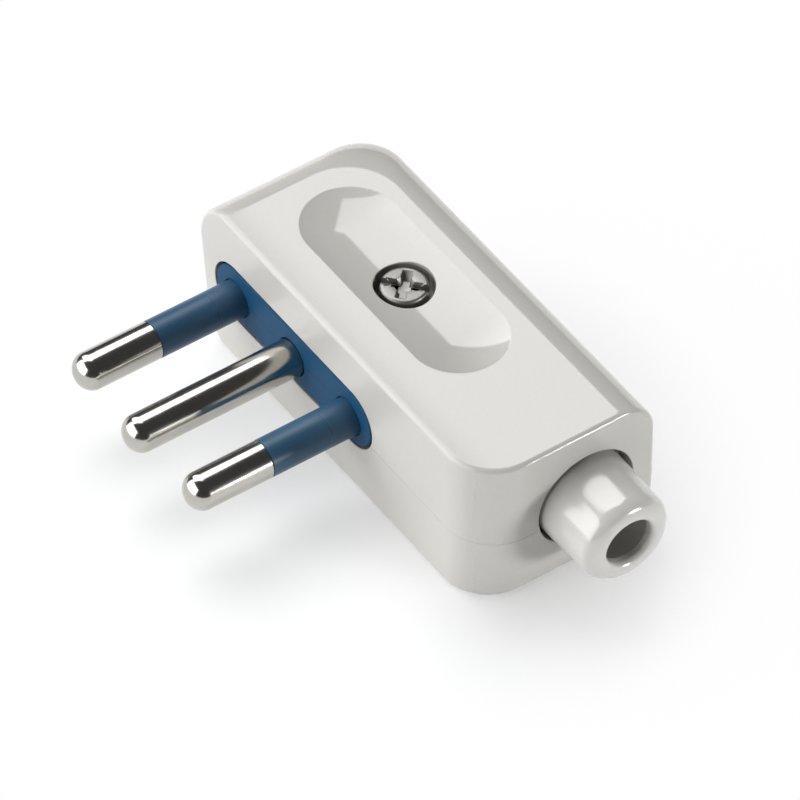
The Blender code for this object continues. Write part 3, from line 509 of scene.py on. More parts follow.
def moulded_satin(name, colour, roughness, grain_size, depth, gloss):
    """Return a satin moulded plastic with a fine eroded grain and soft wear tones."""
    finish = Finish(name)
    flow = finish.noise(6.0 * MM, 3.0, 0.6)
    grain = finish.noise(grain_size, 3.0, 0.6)
    rub = finish.band(finish.noise(1.6 * MM, 4.0, 0.7), 0.55, 0.8)
    tone = finish.blend(flow, shade(colour, 0.88), shade(colour, 1.12))
    tone = finish.blend(rub * 0.12, tone, shade(colour, 1.7))
    finish.bump(grain, depth)
    return finish.set(Base_Color=tone, Roughness=roughness + 0.08 * grain - 0.06 * rub, IOR=1.5,
                      Specular_IOR_Level=gloss)


def plated_metal(name, colour, roughness, along, depth):
    """Return a plated metal with fine polishing lines along one axis and faint stains."""
    finish = Finish(name)
    stretch = tuple(0.04 if axis == along else 1.0 for axis in "XYZ")
    lines = finish.noise(0.05 * MM, 3.0, 0.65, stretch)
    stain = finish.noise(2.5 * MM, 3.0, 0.6)
    pit = finish.band(finish.noise(0.35 * MM, 3.0, 0.7), 0.66, 0.76)
    tone = finish.blend(stain, shade(colour, 0.9), shade(colour, 1.08))
    tone = finish.blend(pit * 0.35, tone, shade(colour, 0.45))
    finish.bump(lines, depth)
    return finish.set(Base_Color=tone, Metallic=1.0,
                      Roughness=roughness + 0.05 * stain + 0.05 * lines + 0.2 * pit)


def arc(centre, radius, start, end, facets):
    """Return points on an arc, angles in degrees, both ends included."""
    points = []
    for step in range(facets + 1):
        angle = math.radians(start + (end - start) * step / facets)
        points.append((centre[0] + radius * math.cos(angle), centre[1] + radius * math.sin(angle)))
    return points


def circle(centre, radius, facets=FACETS):
    """Return the points of a full circle, each one once."""
    return arc(centre, radius, 0.0, 360.0, facets)[:-1]


def stadium(centre, half_length, radius):
    """Return a flat-sided outline with half-round ends, long along its first axis."""
    reach, half = half_length - radius, FACETS // 2
    return (arc((centre[0] + reach, centre[1]), radius, -90.0, 90.0, half)
            + arc((centre[0] - reach, centre[1]), radius, 90.0, 270.0, half))


def quarter(steps):
    """Return (1 - sine, 1 - cosine) at even steps of a quarter turn."""
    turns = [math.radians(90.0 * step / steps) for step in range(steps + 1)]
    return [(1.0 - math.sin(turn), 1.0 - math.cos(turn)) for turn in turns]


def stacked(rings, closed=False):
    """Return a bmesh that joins rings of points, with a cap at each open end."""
    bm = bmesh.new()
    rows = [[bm.verts.new(point) for point in ring] for ring in rings]
    pairs = list(zip(rows, rows[1:]))
    if closed:
        pairs.append((rows[-1], rows[0]))
    else:
        bm.faces.new(rows[0])
        bm.faces.new(rows[-1])
    for low, high in pairs:
        for index in range(len(low)):
            after = (index + 1) % len(low)
            bm.faces.new((low[index], low[after], high[after], high[index]))
    bmesh.ops.recalc_face_normals(bm, faces=bm.faces)
    return bm


def put(axis, first, second, height):
    """Return a point from two coordinates across an axis and one along it."""
    if axis == "X":
        return (height, first, second)
    if axis == "Y":
        return (first, height, second)
    return (first, second, height)


def prism(outline, low, high, axis):
    """Return a bmesh of an outline pushed along an axis."""
    return stacked([[put(axis, *pair, height) for pair in outline] for height in (low, high)])


def block(low, high):
    """Return a bmesh box between two corners."""
    outline = [(low[0], low[1]), (high[0], low[1]), (high[0], high[1]), (low[0], high[1])]
    return prism(outline, low[2], high[2], "Z")


def turned(profile, centre, axis, closed=False, facets=FACETS):
    """Return a bmesh turned from (radius, height) points about an axis."""
    turns = [2.0 * math.pi * step / facets for step in range(facets)]
    rings = [[put(axis, centre[0] + radius * math.cos(turn), centre[1] + radius * math.sin(turn),
                  height) for turn in turns] for radius, height in profile]
    return stacked(rings, closed)


def edge_inset(below, rounding):
    """Return how far an edge rounding draws in, at a distance from its flat face."""
    width, drop = rounding
    rest = min(1.0, max(0.0, 1.0 - below / drop))
    return width * (1.0 - math.sqrt(1.0 - rest * rest))


def level_limits(height, sizes):
    """Return the body's four sides and four corner radii at one height."""
    insets = {}
    for side in sizes["top"]:
        top = edge_inset(sizes["high"] - height, sizes["top"][side])
        insets[side] = max(top, edge_inset(height - sizes["low"], sizes["bottom"][side]))
    below_edge = max(0.0, sizes["high"] - sizes["top"]["left"][1] - height)
    west = sizes["left"] + LEFT_SLOPE_SHARE * below_edge + insets["left"]
    east = sizes["right"] - sizes["draft"] * abs(height - PARTING_HEIGHT) - insets["right"]
    south, north = sizes["front"] + insets["front"], sizes["back"] - insets["back"]
    front_left, front_right, back_right, back_left, back_left_top = sizes["corners"]
    front_right = max(front_right - insets["right"], back_right)
    back_left += (back_left_top - back_left) * insets["back"] / sizes["top"]["back"][0]
    return west, east, south, north, (front_left, front_right, back_right, back_left)


def level_ring(height, sizes):
    """Return the points of the body's outline at one height."""
    west, east, south, north, radii = level_limits(height, sizes)
    front_left, front_right, back_right, back_left = radii
    points = arc((west + front_left, south + front_left), front_left, 180.0, 270.0, SMALL_STEPS)
    points += arc((east - front_right, south + front_right), front_right, 270.0, 360.0,
                  LARGE_STEPS)
    points += arc((east - back_right, north - back_right), back_right, 0.0, 90.0, SMALL_STEPS)
    points += arc((west + back_left, north - back_left), back_left, 90.0, 180.0, LARGE_STEPS)
    return [(x, y, height) for x, y in points]


def level_distance(x, y, height, sizes):
    """Return how far a point lies outside the body's outline at its height."""
    west, east, south, north, radii = level_limits(height, sizes)
    left, front = x < (west + east) / 2, y < (south + north) / 2
    radius = radii[(0 if left else 1) if front else (3 if left else 2)]
    across = west + radius - x if left else x - east + radius
    along = south + radius - y if front else y - north + radius
    if across > 0.0 and along > 0.0:
        return math.hypot(across, along) - radius
    return max(across, along) - radius


def body_levels(sizes):
    """Return the heights at which the body is lofted, close together where it is round."""
    found = {PARTING_HEIGHT}
    for edges, flat, sign in ((sizes["bottom"], sizes["low"], 1.0),
                              (sizes["top"], sizes["high"], -1.0)):
        for width, drop in edges.values():
            steps = LARGE_STEPS if drop > LARGE_DROP else SMALL_STEPS
            found.update(flat + sign * drop * fall for side, fall in quarter(steps))
    levels = []
    for height in sorted(found):
        if not levels or height - levels[-1] > LEVEL_MERGE or height == sizes["high"]:
            levels.append(height)
    return levels


def lofted_body(sizes):
    """Return a bmesh lofted through the body's levels."""
    return stacked([level_ring(height, sizes) for height in body_levels(sizes)])


def outer_sizes():
    """Return the sizes of the body's outside."""
    return {"left": -BODY_LEFT, "right": BODY_RIGHT, "front": 0.0, "back": BODY_DEPTH, "low": 0.0,
            "high": BODY_HEIGHT, "draft": END_DRAFT_SHARE, "top": TOP_EDGES,
            "bottom": BOTTOM_EDGES, "corners": CORNERS}


def inner_sizes():
    """Return the sizes of the wiring chamber, one wall inside the body's outside."""
    small = (INNER_ROUNDING, INNER_ROUNDING)
    left, left_drop = TOP_EDGES["left"]
    back, back_drop = TOP_EDGES["back"]
    low_left = BOTTOM_EDGES["left"][0] - LEFT_WALL
    return {"left": -BODY_LEFT + LEFT_WALL, "right": BODY_RIGHT - END_WALL, "front": WALL,
            "back": BODY_DEPTH - WALL, "low": WALL, "high": BODY_HEIGHT - WALL, "draft": 0.0,
            "top": {"left": (left - LEFT_WALL, left_drop - WALL), "front": small, "right": small,
                    "back": (back - WALL, back_drop - WALL)},
            "bottom": {"left": (low_left, low_left), "front": small, "right": small,
                       "back": small},
            "corners": (INNER_ROUNDING, CORNERS[1] - WALL, INNER_ROUNDING, CORNERS[3] - WALL,
                        CORNERS[4] - WALL)}


def chamber_ring(grow, height):
    """Return the points of the wiring chamber's outline at one height, grown outwards."""
    sizes = inner_sizes()
    for side, sign in SIDES:
        sizes[side] += sign * grow
    sizes["corners"] = tuple(corner + grow for corner in sizes["corners"])
    return level_ring(height, sizes)


def past(offset, reach):
    """Return the part of an offset that lies past a reach, to either side."""
    return math.copysign(max(0.0, abs(offset) - reach), offset)


def facing(normal, flat):
    """Return a normal or its opposite, whichever lies on the side of the flat one."""
    return normal if normal.dot(flat) > 0.0 else -normal


def flat_surface():
    """Return a surface whose faces keep their own normals, with a tag to itself."""
    def normal(point, flat):
        return flat
    return normal


FLAT = flat_surface()


def body_surface(sizes):
    """Return the normal of a lofted body, worked out from its sizes."""
    step = NORMAL_STEP

    def normal(point, flat):
        x, y, z = point
        near = min(abs(z - sizes["high"]), abs(z - sizes["low"]))
        if near < 2.0 * step and flat.z * flat.z > LEVEL_FACE_SHARE:
            return Vector((0.0, 0.0, math.copysign(1.0, flat.z)))
        slope = Vector((
            level_distance(x + step, y, z, sizes) - level_distance(x - step, y, z, sizes),
            level_distance(x, y + step, z, sizes) - level_distance(x, y - step, z, sizes),
            level_distance(x, y, z + step, sizes) - level_distance(x, y, z - step, sizes)))
        return facing(slope.normalized(), flat)
    return normal


def round_surface(centre, axis, reach=0.0):
    """Return the normal of a cylinder, drawn out to a stadium when reach is set."""
    def normal(point, flat):
        first, second = {"X": (1, 2), "Y": (0, 2), "Z": (0, 1)}[axis]
        out = Vector(put(axis, past(point[first] - centre[0], reach),
                         point[second] - centre[1], 0.0)).normalized()
        return facing(out, flat) if abs(out.dot(flat)) >= ROUND_FACE_SHARE else flat
    return normal


def capsule_surface(centre, reach):
    """Return the normal of a capsule that lies along X."""
    def normal(point, flat):
        out = point - centre
        out.x = past(out.x, reach)
        return facing(out.normalized(), flat)
    return normal


def nose_surface():
    """Return the normal of the carrier's nose: flat face, rounded edge and straight flank."""
    def normal(point, flat):
        if abs(flat.y) > FRONT_FACE_SHARE:
            return flat
        out = Vector((past(point.x - NOSE_CENTRE[0], NOSE_REACH), 0.0,
                      point.z - NOSE_CENTRE[1])).normalized()
        depth = min(1.0, max(0.0, 1.0 - (point.y - NOSE_FRONT) / NOSE_EDGE))
        return out * math.sqrt(1.0 - depth * depth) + Vector((0.0, -depth, 0.0))
    return normal


def linked(name, data):
    """Return a new object of the scene."""
    item = bpy.data.objects.new(name, data)
    bpy.context.scene.collection.objects.link(item)
    return item


def add_boolean(solid, operation, tool):
    """Join, cut or trim a solid with a tool, by a modifier."""
    modifier = solid.modifiers.new(operation, "BOOLEAN")
    modifier.operation, modifier.solver, modifier.object = operation, "EXACT", tool
    return modifier


class Carving:
    """A solid cut and joined from parts, whose faces remember the surface they lie on."""

    def __init__(self, bm, surface):
        self.surfaces = [surface]
        self.made = []
        self.solid = self.add(bm, 0)

    def add(self, bm, tag):
        """Turn a bmesh into an object whose faces all carry one tag."""
        for face in bm.faces:
            face.material_index = tag
        mesh = bpy.data.meshes.new("carving")
        bm.to_mesh(mesh)
        bm.free()
        for slot in range(TAG_SLOTS):
            mesh.materials.append(None)
        self.made.append(linked("carving", mesh))
        return self.made[-1]

    def combine(self, operation, bm, surface):
        """Join, cut or trim with a bmesh, and return the tag of the new faces."""
        if surface not in self.surfaces:
            self.surfaces.append(surface)
        tag = self.surfaces.index(surface)
        add_boolean(self.solid, operation, self.add(bm, tag)).material_mode = "INDEX"
        return tag

    def cut(self, bm, surface=FLAT):
        """Take a bmesh away."""
        return self.combine("DIFFERENCE", bm, surface)

    def join(self, bm, surface=FLAT):
        """Add a bmesh."""
        return self.combine("UNION", bm, surface)

    def drill(self, place, radius, low, high, axis="Z", facets=FACETS):
        """Cut a round hole along an axis."""
        return self.cut(prism(circle(place, radius, facets), low, high, axis),
                        round_surface(place, axis))

    def post(self, place, radius, low, high, facets=FACETS):
        """Join an upright round post."""
        return self.join(prism(circle(place, radius, facets), low, high, "Z"),
                         round_surface(place, "Z"))

    def result(self, name, rims):
        """Return the finished mesh; a rim is two tags and the width of the rounding between."""
        graph = bpy.context.evaluated_depsgraph_get()
        bm = bmesh.new()
        bm.from_object(self.solid, graph)
        for item in self.made:
            mesh = item.data
            bpy.data.objects.remove(item)
            bpy.data.meshes.remove(mesh)
        bmesh.ops.remove_doubles(bm, verts=bm.verts, dist=WELD)
        rim_tag = len(self.surfaces)
        for first, second, width in rims:
            chosen = [edge for edge in bm.edges if len(edge.link_faces) == 2
                      and {face.material_index for face in edge.link_faces} == {first, second}
                      and edge.calc_face_angle(0.0) > RIM_ANGLE]
            if not chosen:
                raise RuntimeError(f"{name} has no edge between surfaces {first} and {second}")
            new = bmesh.ops.bevel(bm, geom=chosen, offset=width, offset_type="OFFSET",
                                  segments=RIM_SEGMENTS, profile=0.5, affect="EDGES",
                                  clamp_overlap=False, miter_outer="SHARP")
            for face in new["faces"]:
                face.material_index = rim_tag
        return self.dressed(name, bm, rim_tag)

    def dressed(self, name, bm, rim_tag):
        """Write the bmesh out with each corner's normal taken from its surface."""
        bm.normal_update()
        own, shared = {}, {}
        for face in bm.faces:
            tag = face.material_index
            for vert in face.verts:
                if tag != rim_tag:
                    normal = self.surfaces[tag](vert.co, face.normal)
                    own[(face, vert)] = normal
                    if any(other.material_index == rim_tag for other in vert.link_faces):
                        shared.setdefault(vert, []).append(normal)
        corner_normals = []
        for face in bm.faces:
            face.smooth = True
            for vert in face.verts:
                if (face, vert) in own:
                    corner_normals.append(own[(face, vert)].copy())
                    continue
                near = [normal for normal in shared.get(vert, [])
                        if normal.dot(face.normal) > SHARED_NORMAL_SHARE]
                if not near:
                    near = [other.normal for other in vert.link_faces
                            if other.material_index == rim_tag
                            and other.normal.dot(face.normal) > RIM_NORMAL_SHARE]
                mean = sum(near, Vector()).normalized() if near else face.normal.copy()
                corner_normals.append(mean)
        mesh = bpy.data.meshes.new(name)
        for face in bm.faces:
            face.material_index = 0
        bm.to_mesh(mesh)
        bm.free()
        mesh.normals_split_custom_set(corner_normals)
        return mesh


def smoothed(mesh, sharp):
    """Shade a mesh smooth, apart from edges sharper than an angle in degrees."""
    mesh.shade_smooth()
    mesh.set_sharp_from_angle(angle=math.radians(sharp))
    return mesh


def plain_mesh(name, bm, sharp=SHARP):
    """Return a smooth-shaded mesh of a bmesh."""
    mesh = bpy.data.meshes.new(name)
    bm.to_mesh(mesh)
    bm.free()
    return smoothed(mesh, sharp)


def applied(item):
    """Return an object's mesh with its modifiers applied, and remove the object."""
    graph = bpy.context.evaluated_depsgraph_get()
    mesh = bpy.data.meshes.new_from_object(item.evaluated_get(graph))
    mesh.name = item.name
    bpy.data.objects.remove(item)
    return mesh


def machined(name, bm, tools, sharp=SHARP):
    """Return a bmesh's mesh after booleans with pairs of operation and bmesh."""
    solid, made = linked(name, plain_mesh(name, bm)), []
    for operation, tool in tools:
        made.append(linked("tool", plain_mesh("tool", tool)))
        add_boolean(solid, operation, made[-1])
    mesh = applied(solid)
    for item in made:
        bpy.data.objects.remove(item)
    return smoothed(mesh, sharp)


def eased(mesh, width):
    """Return a mesh whose sharp edges carry a small rounding, with even smooth shading."""
    item = linked(mesh.name, mesh)
    bevel = item.modifiers.new("bevel", "BEVEL")
    bevel.width, bevel.segments, bevel.limit_method = width, RIM_SEGMENTS, "ANGLE"
    bevel.angle_limit, bevel.use_clamp_overlap = math.radians(SHARP), False
    item.modifiers.new("even", "WEIGHTED_NORMAL").keep_sharp = False
    return applied(item)


def add_piece(node, mesh, material):
    """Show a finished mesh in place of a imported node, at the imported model's datum."""
    mesh.transform(Matrix.Translation(DATUM))
    mesh.materials.clear()
    mesh.materials.append(material)
    piece = linked(f"{node}_finished", mesh)
    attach(piece, "root")
    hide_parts(node)


def shell_blank(low, high, lip=None):
    """Return a carving of the hollow body between two heights, with its lip, and a tag."""
    outer, inner = outer_sizes(), inner_sizes()
    shell = Carving(lofted_body(outer), body_surface(outer))
    around = block((-BODY_LEFT - OVERRUN, -OVERRUN, low),
                   (BODY_RIGHT + OVERRUN, BODY_DEPTH + OVERRUN, high))
    parting = shell.combine("INTERSECT", around, flat_surface())
    if lip is not None:
        shell.join(lip)
    shell.cut(lofted_body(inner), body_surface(inner))
    return shell, parting


def cut_openings(shell):
    """Cut the carrier's window and the outlet's hole, and return their tags."""
    window = shell.cut(
        prism(stadium(NOSE_CENTRE, NOSE_HALF_LENGTH + FIT, NOSE_RADIUS + FIT), -OVERRUN,
              WALL + OVERRUN / 2, "Y"), round_surface(NOSE_CENTRE, "Y", NOSE_REACH))
    radius, lift = OUTLET_HOLE
    hole = shell.drill((OUTLET_PLACE[0], OUTLET_PLACE[1] + lift), radius,
                       BODY_RIGHT - END_WALL - OVERRUN / 2, BODY_RIGHT + OVERRUN, "X")
    return window, hole


def add_collar(shell, low, high):
    """Join the plate behind the outlet's flange and cut it for the neck."""
    right = OUTLET_NECK[1] - GAP
    left = right - COLLAR_WALL
    shell.join(block((left, WALL - GAP, low), (right, BODY_DEPTH - WALL + GAP, high)))
    shell.drill(OUTLET_PLACE, OUTLET_NECK[2] + FIT, left - OVERRUN / 2, right + OVERRUN / 4, "X")


def lip_rebate():
    """Return a bmesh ring at the parting line, where the lower shell's lip stands."""
    low, high, outer = PARTING_HEIGHT - GAP, LIP_TOP + GAP, LIP_THICKNESS + FIT
    return stacked([chamber_ring(grow, height) for grow, height in
                    ((outer, low), (outer, high), (-GAP, high), (-GAP, low))], closed=True)


def dish_tool(ball, reach, centre):
    """Return the lower part of a lying capsule, whose underside is the finger recess."""
    low = centre.z - ball
    rings = []
    for step in range(1, RECESS_STEPS + 1):
        drop = ball * (1.0 - math.cos(math.radians(step * RECESS_TURN / RECESS_STEPS)))
        width = math.sqrt(ball * ball - (ball - drop) ** 2)
        outline = stadium((centre.x, centre.y), reach + width, width)
        rings.append([(x, y, low + drop) for x, y in outline])
    return stacked(rings)


def build_upper_shell(sizes, material):
    """Build the upper shell with its finger recess, screw boss, ribs and collar."""
    bottom, ceiling = PARTING_HEIGHT + sizes.seam / 2, BODY_HEIGHT - WALL + GAP
    shell, parting = shell_blank(bottom, BODY_HEIGHT + OVERRUN)
    shell.join(prism(stadium(SCREW_PLACE, RECESS_HALF_LENGTH, RECESS_HALF_WIDTH),
                     BODY_HEIGHT - RECESS_DEPTH - RECESS_FLOOR, ceiling, "Z"))
    radius, floor = COUNTERBORE
    shell.post(SCREW_PLACE, radius + BOSS_WALL, BOSS_BOTTOM, ceiling)
    rib_front = CARRIER_FLANGE[1] + GAP
    rib_bottom = PIN_HEIGHT + CARRIER_HALF_HEIGHT + GAP
    clear = TERMINAL_SCREW + 2.0 * GAP
    for x in (-PIN_PITCH, 0.0):
        shell.join(block((x + clear, rib_front, rib_bottom),
                         (x + PIN_PITCH - clear, rib_front + RIB, ceiling)))
    add_collar(shell, bottom, ceiling)
    shell.cut(lip_rebate())
    window, hole = cut_openings(shell)
    ball = (RECESS_HALF_WIDTH ** 2 + RECESS_DEPTH ** 2) / (2.0 * RECESS_DEPTH)
    centre = Vector((*SCREW_PLACE, BODY_HEIGHT - RECESS_DEPTH + ball))
    reach = RECESS_HALF_LENGTH - RECESS_HALF_WIDTH
    dish = shell.cut(dish_tool(ball, reach, centre), capsule_surface(centre, reach))
    bore = shell.drill(SCREW_PLACE, radius, floor, BODY_HEIGHT + OVERRUN)
    shell.drill(SCREW_PLACE, SHANK_RADIUS + FIT, PARTING_HEIGHT, BODY_HEIGHT)
    rims = [(0, parting, sizes.seam_edge)]
    rims += [(0, tag, sizes.rim_edge) for tag in (window, hole, dish)]
    rims += [(dish, bore, sizes.rim_edge)]
    add_piece("upper_shell", shell.result("upper_shell_finished", rims), material)


def build_lower_shell(sizes, material):
    """Build the lower shell with its nut boss and pillar, rib, clamp bosses and saddle."""
    top, floor = PARTING_HEIGHT - sizes.seam / 2, WALL - GAP
    lip = stacked([chamber_ring(LIP_THICKNESS, height)
                   for height in (PARTING_HEIGHT - OVERRUN, LIP_TOP)])
    shell, parting = shell_blank(-OVERRUN, top, lip)
    rib_front = CARRIER_FLANGE[1] + GAP
    half = CARRIER_HALF_WIDTH - BOTTOM_EDGES["left"][0] / 2
    shell.join(block((-half, rib_front, floor),
                     (half, rib_front + RIB, PIN_HEIGHT - CARRIER_HALF_HEIGHT - GAP)))
    shell.post(SCREW_PLACE, NUT_CORNER + FIT + NUT_WALL, floor, NUT_BOSS_TOP)
    shell.post(SCREW_PLACE, PILLAR_RADIUS, floor, BOSS_BOTTOM - GAP)
    shell.join(block((CLAMP_X - CLAMP_HALF_WIDTH, OUTLET_PLACE[0] - SADDLE[0], floor),
                     (CLAMP_X + CLAMP_HALF_WIDTH, OUTLET_PLACE[0] + SADDLE[0], SADDLE[1])))
    places = [(CLAMP_X, OUTLET_PLACE[0] + side * CLAMP_HALF_SPACING) for side in (-1.0, 1.0)]
    for place in places:
        shell.post(place, CLAMP_BOSS[0], floor, CLAMP_BOSS[1], FACETS // 2)
    add_collar(shell, floor, top)
    window, hole = cut_openings(shell)
    pocket = shell.cut(prism(circle(SCREW_PLACE, NUT_CORNER + FIT, 6), -OVERRUN,
                             NUT_RANGE[1] + GAP, "Z"), flat_surface())
    shell.drill(SCREW_PLACE, SHANK_RADIUS + FIT, 0.0, BODY_HEIGHT)
    shell.drill(OUTLET_PLACE, CLAMP_BORE, CLAMP_X - 2.0 * CLAMP_HALF_WIDTH,
                CLAMP_X + 2.0 * CLAMP_HALF_WIDTH, "X")
    for place in places:
        shell.drill(place, CLAMP_HOLE[0], CLAMP_HOLE[1], BODY_HEIGHT, facets=FACETS // 2)
    rims = [(0, parting, sizes.seam_edge)]
    rims += [(0, tag, sizes.rim_edge) for tag in (window, hole, pocket)]
    add_piece("lower_shell", shell.result("lower_shell_finished", rims), material)


def build_carrier(material):
    """Build the pin carrier with a rounded nose edge and a fine mould line along its face."""
    flange_front, flange_back, flange_half = CARRIER_FLANGE
    levels = [(NOSE_EDGE * side, NOSE_EDGE * fall + NOSE_FRONT)
              for side, fall in quarter(NOSE_STEPS)]
    rings = []
    for inset, back in (*levels, (0.0, flange_front + GAP)):
        outline = stadium(NOSE_CENTRE, NOSE_HALF_LENGTH - inset, NOSE_RADIUS - inset)
        rings.append([(x, back, z) for x, z in outline])
    carrier = Carving(stacked(rings), nose_surface())
    carrier.join(block((-CARRIER_HALF_WIDTH, flange_front, PIN_HEIGHT - flange_half),
                       (CARRIER_HALF_WIDTH, flange_back, PIN_HEIGHT + flange_half)))
    half = CARRIER_HALF_WIDTH - GAP
    carrier.join(block((-half, flange_back - GAP, PIN_HEIGHT - CARRIER_HALF_HEIGHT),
                       (half, CARRIER_BACK, PIN_HEIGHT + CARRIER_HALF_HEIGHT)))
    front, deep = MOULD_LINE_REACH
    groove = [(front, MOULD_LINE), (deep, MOULD_LINE + MOULD_LINE_WIDTH / 2),
              (front, MOULD_LINE + MOULD_LINE_WIDTH)]
    carrier.cut(prism(groove, -NOSE_HALF_LENGTH, NOSE_HALF_LENGTH, "X"), flat_surface())
    rims, facets = [], FACETS * 2 // 3
    for x in (-PIN_PITCH, 0.0, PIN_PITCH):
        centre = (x, PIN_HEIGHT)
        surface = round_surface(centre, "Y")
        bore = carrier.cut(prism(circle(centre, PIN_RADIUS + PIN_HOLE_FIT, facets), -OVERRUN,
                                 CARRIER_BACK, "Y"), surface)
        rims.append((0, bore, PIN_HOLE_EDGE))
        carrier.cut(prism(circle(centre, BARREL_RADIUS + FIT, facets), BARREL_FRONT - GAP,
                          CARRIER_BACK + OVERRUN, "Y"), surface)
        half = TERMINAL_SCREW + GAP
        carrier.cut(block((x - half, TERMINAL_Y - half, PIN_HEIGHT),
                          (x + half, CARRIER_BACK + OVERRUN,
                           PIN_HEIGHT + CARRIER_HALF_HEIGHT + OVERRUN)))
    add_piece("pin_carrier", carrier.result("pin_carrier_finished", rims), material)


def pin_mesh(name, x, tip, sleeved):
    """Return a pin turned with a domed tip, and its barrel drilled for wire and screw."""
    profile = [(AXIS_RADIUS, tip)]
    profile += [(PIN_RADIUS * (1.0 - side), tip + PIN_TIP * fall)
                for side, fall in quarter(PIN_TIP_STEPS)[1:]]
    if sleeved:
        neck = PIN_RADIUS - SLEEVE_WALL - SLEEVE_FIT
        profile += [(PIN_RADIUS, -SLEEVE_REACH - PIN_END_EDGE),
                    (PIN_RADIUS - PIN_END_EDGE, -SLEEVE_REACH),
                    (neck, -SLEEVE_REACH), (neck, BARREL_FRONT)]
    else:
        profile += [(PIN_RADIUS, BARREL_FRONT)]
    edge = BARREL_EDGE
    profile += [(BARREL_RADIUS - edge, BARREL_FRONT), (BARREL_RADIUS, BARREL_FRONT + edge),
                (BARREL_RADIUS, BARREL_BACK - edge), (BARREL_RADIUS - edge, BARREL_BACK)]
    facets = FACETS // 3
    wire_hole = prism(circle((x, PIN_HEIGHT), WIRE_HOLE, facets),
                      BARREL_BACK - WIRE_HOLE_DEPTH, BARREL_BACK + OVERRUN, "Y")
    screw_hole = prism(circle((x, TERMINAL_Y), TERMINAL_SCREW + FIT, facets), PIN_HEIGHT + GAP,
                       PIN_HEIGHT + BARREL_RADIUS + OVERRUN, "Z")
    return machined(name, turned(profile, (x, PIN_HEIGHT), "Y"),
                    [("DIFFERENCE", wire_hole), ("DIFFERENCE", screw_hole)])


def sleeve_mesh(name, x):
    """Return a sleeve with rounded ends and the fine ring line left by its mould."""
    inner, outer, edge = PIN_RADIUS - SLEEVE_WALL, PIN_RADIUS, SLEEVE_EDGE
    part = edge * SLEEVE_EDGE_SHARE
    low, high = -SLEEVE_REACH + SLEEVE_END_GAP, BARREL_FRONT - GAP
    wide, narrow = MOULD_RING_HALF_WIDTHS
    profile = [(inner, low), (outer - edge, low), (outer - part, low + part),
               (outer, low + edge), (outer, MOULD_RING - wide),
               (outer - MOULD_RING_DEPTH, MOULD_RING - narrow),
               (outer - MOULD_RING_DEPTH, MOULD_RING + narrow), (outer, MOULD_RING + wide),
               (outer, high - edge), (outer - edge, high), (inner, high)]
    return plain_mesh(name, turned(profile, (x, PIN_HEIGHT), "Y", closed=True),
                      SLEEVE_SHARP)


def outlet_mesh(sizes):
    """Return the cord outlet bush with its flange, neck and rounded mouth."""
    neck_left, flange_left, neck = OUTLET_NECK
    flange_right, flange = OUTLET_FLANGE
    bore, edge, small = sizes.bore_radius, OUTLET_BORE_EDGE, OUTLET_EDGE
    profile = [(OUTLET_INNER, neck_left), (neck, neck_left), (neck, flange_left),
               (flange - small, flange_left), (flange, flange_left + small),
               (flange, flange_right - small), (flange - small, flange_right),
               (OUTLET_ROOT + small, flange_right), (OUTLET_ROOT, flange_right + small)]
    mouth = (OUTLET_END - OUTLET_ROUNDING, OUTLET_MOUTH - OUTLET_ROUNDING)
    for step in range(1, OUTLET_RINGS):
        way = step / OUTLET_RINGS
        profile.append((OUTLET_ROOT + (OUTLET_MOUTH - OUTLET_ROOT) * way,
                        flange_right + (mouth[0] - flange_right) * way))
    rounds = arc(mouth, OUTLET_ROUNDING, 0.0, 90.0, OUTLET_STEPS)[::-1]
    rounds += arc((OUTLET_END - edge, bore + edge), edge, 0.0, -90.0, OUTLET_STEPS)
    profile += [(radius, along) for along, radius in rounds]
    lip = OUTLET_END - OUTLET_LIP
    profile += [(bore, lip), (OUTLET_INNER, lip - OUTLET_BORE_EDGE)]
    return plain_mesh("cord_outlet_finished",
                      turned(profile, OUTLET_PLACE, "X", True, FACETS * 4 // 3))


def star(size, width, corner):
    """Return a four-armed outline with eased inner corners, about (0, 0)."""
    points = []
    for arm in range(4):
        turn = math.radians(90.0 * arm)
        for x, y in ((size, -width), (size, width), (width + corner, width),
                     (width, width + corner)):
            points.append((x * math.cos(turn) - y * math.sin(turn),
                           x * math.sin(turn) + y * math.cos(turn)))
    return points


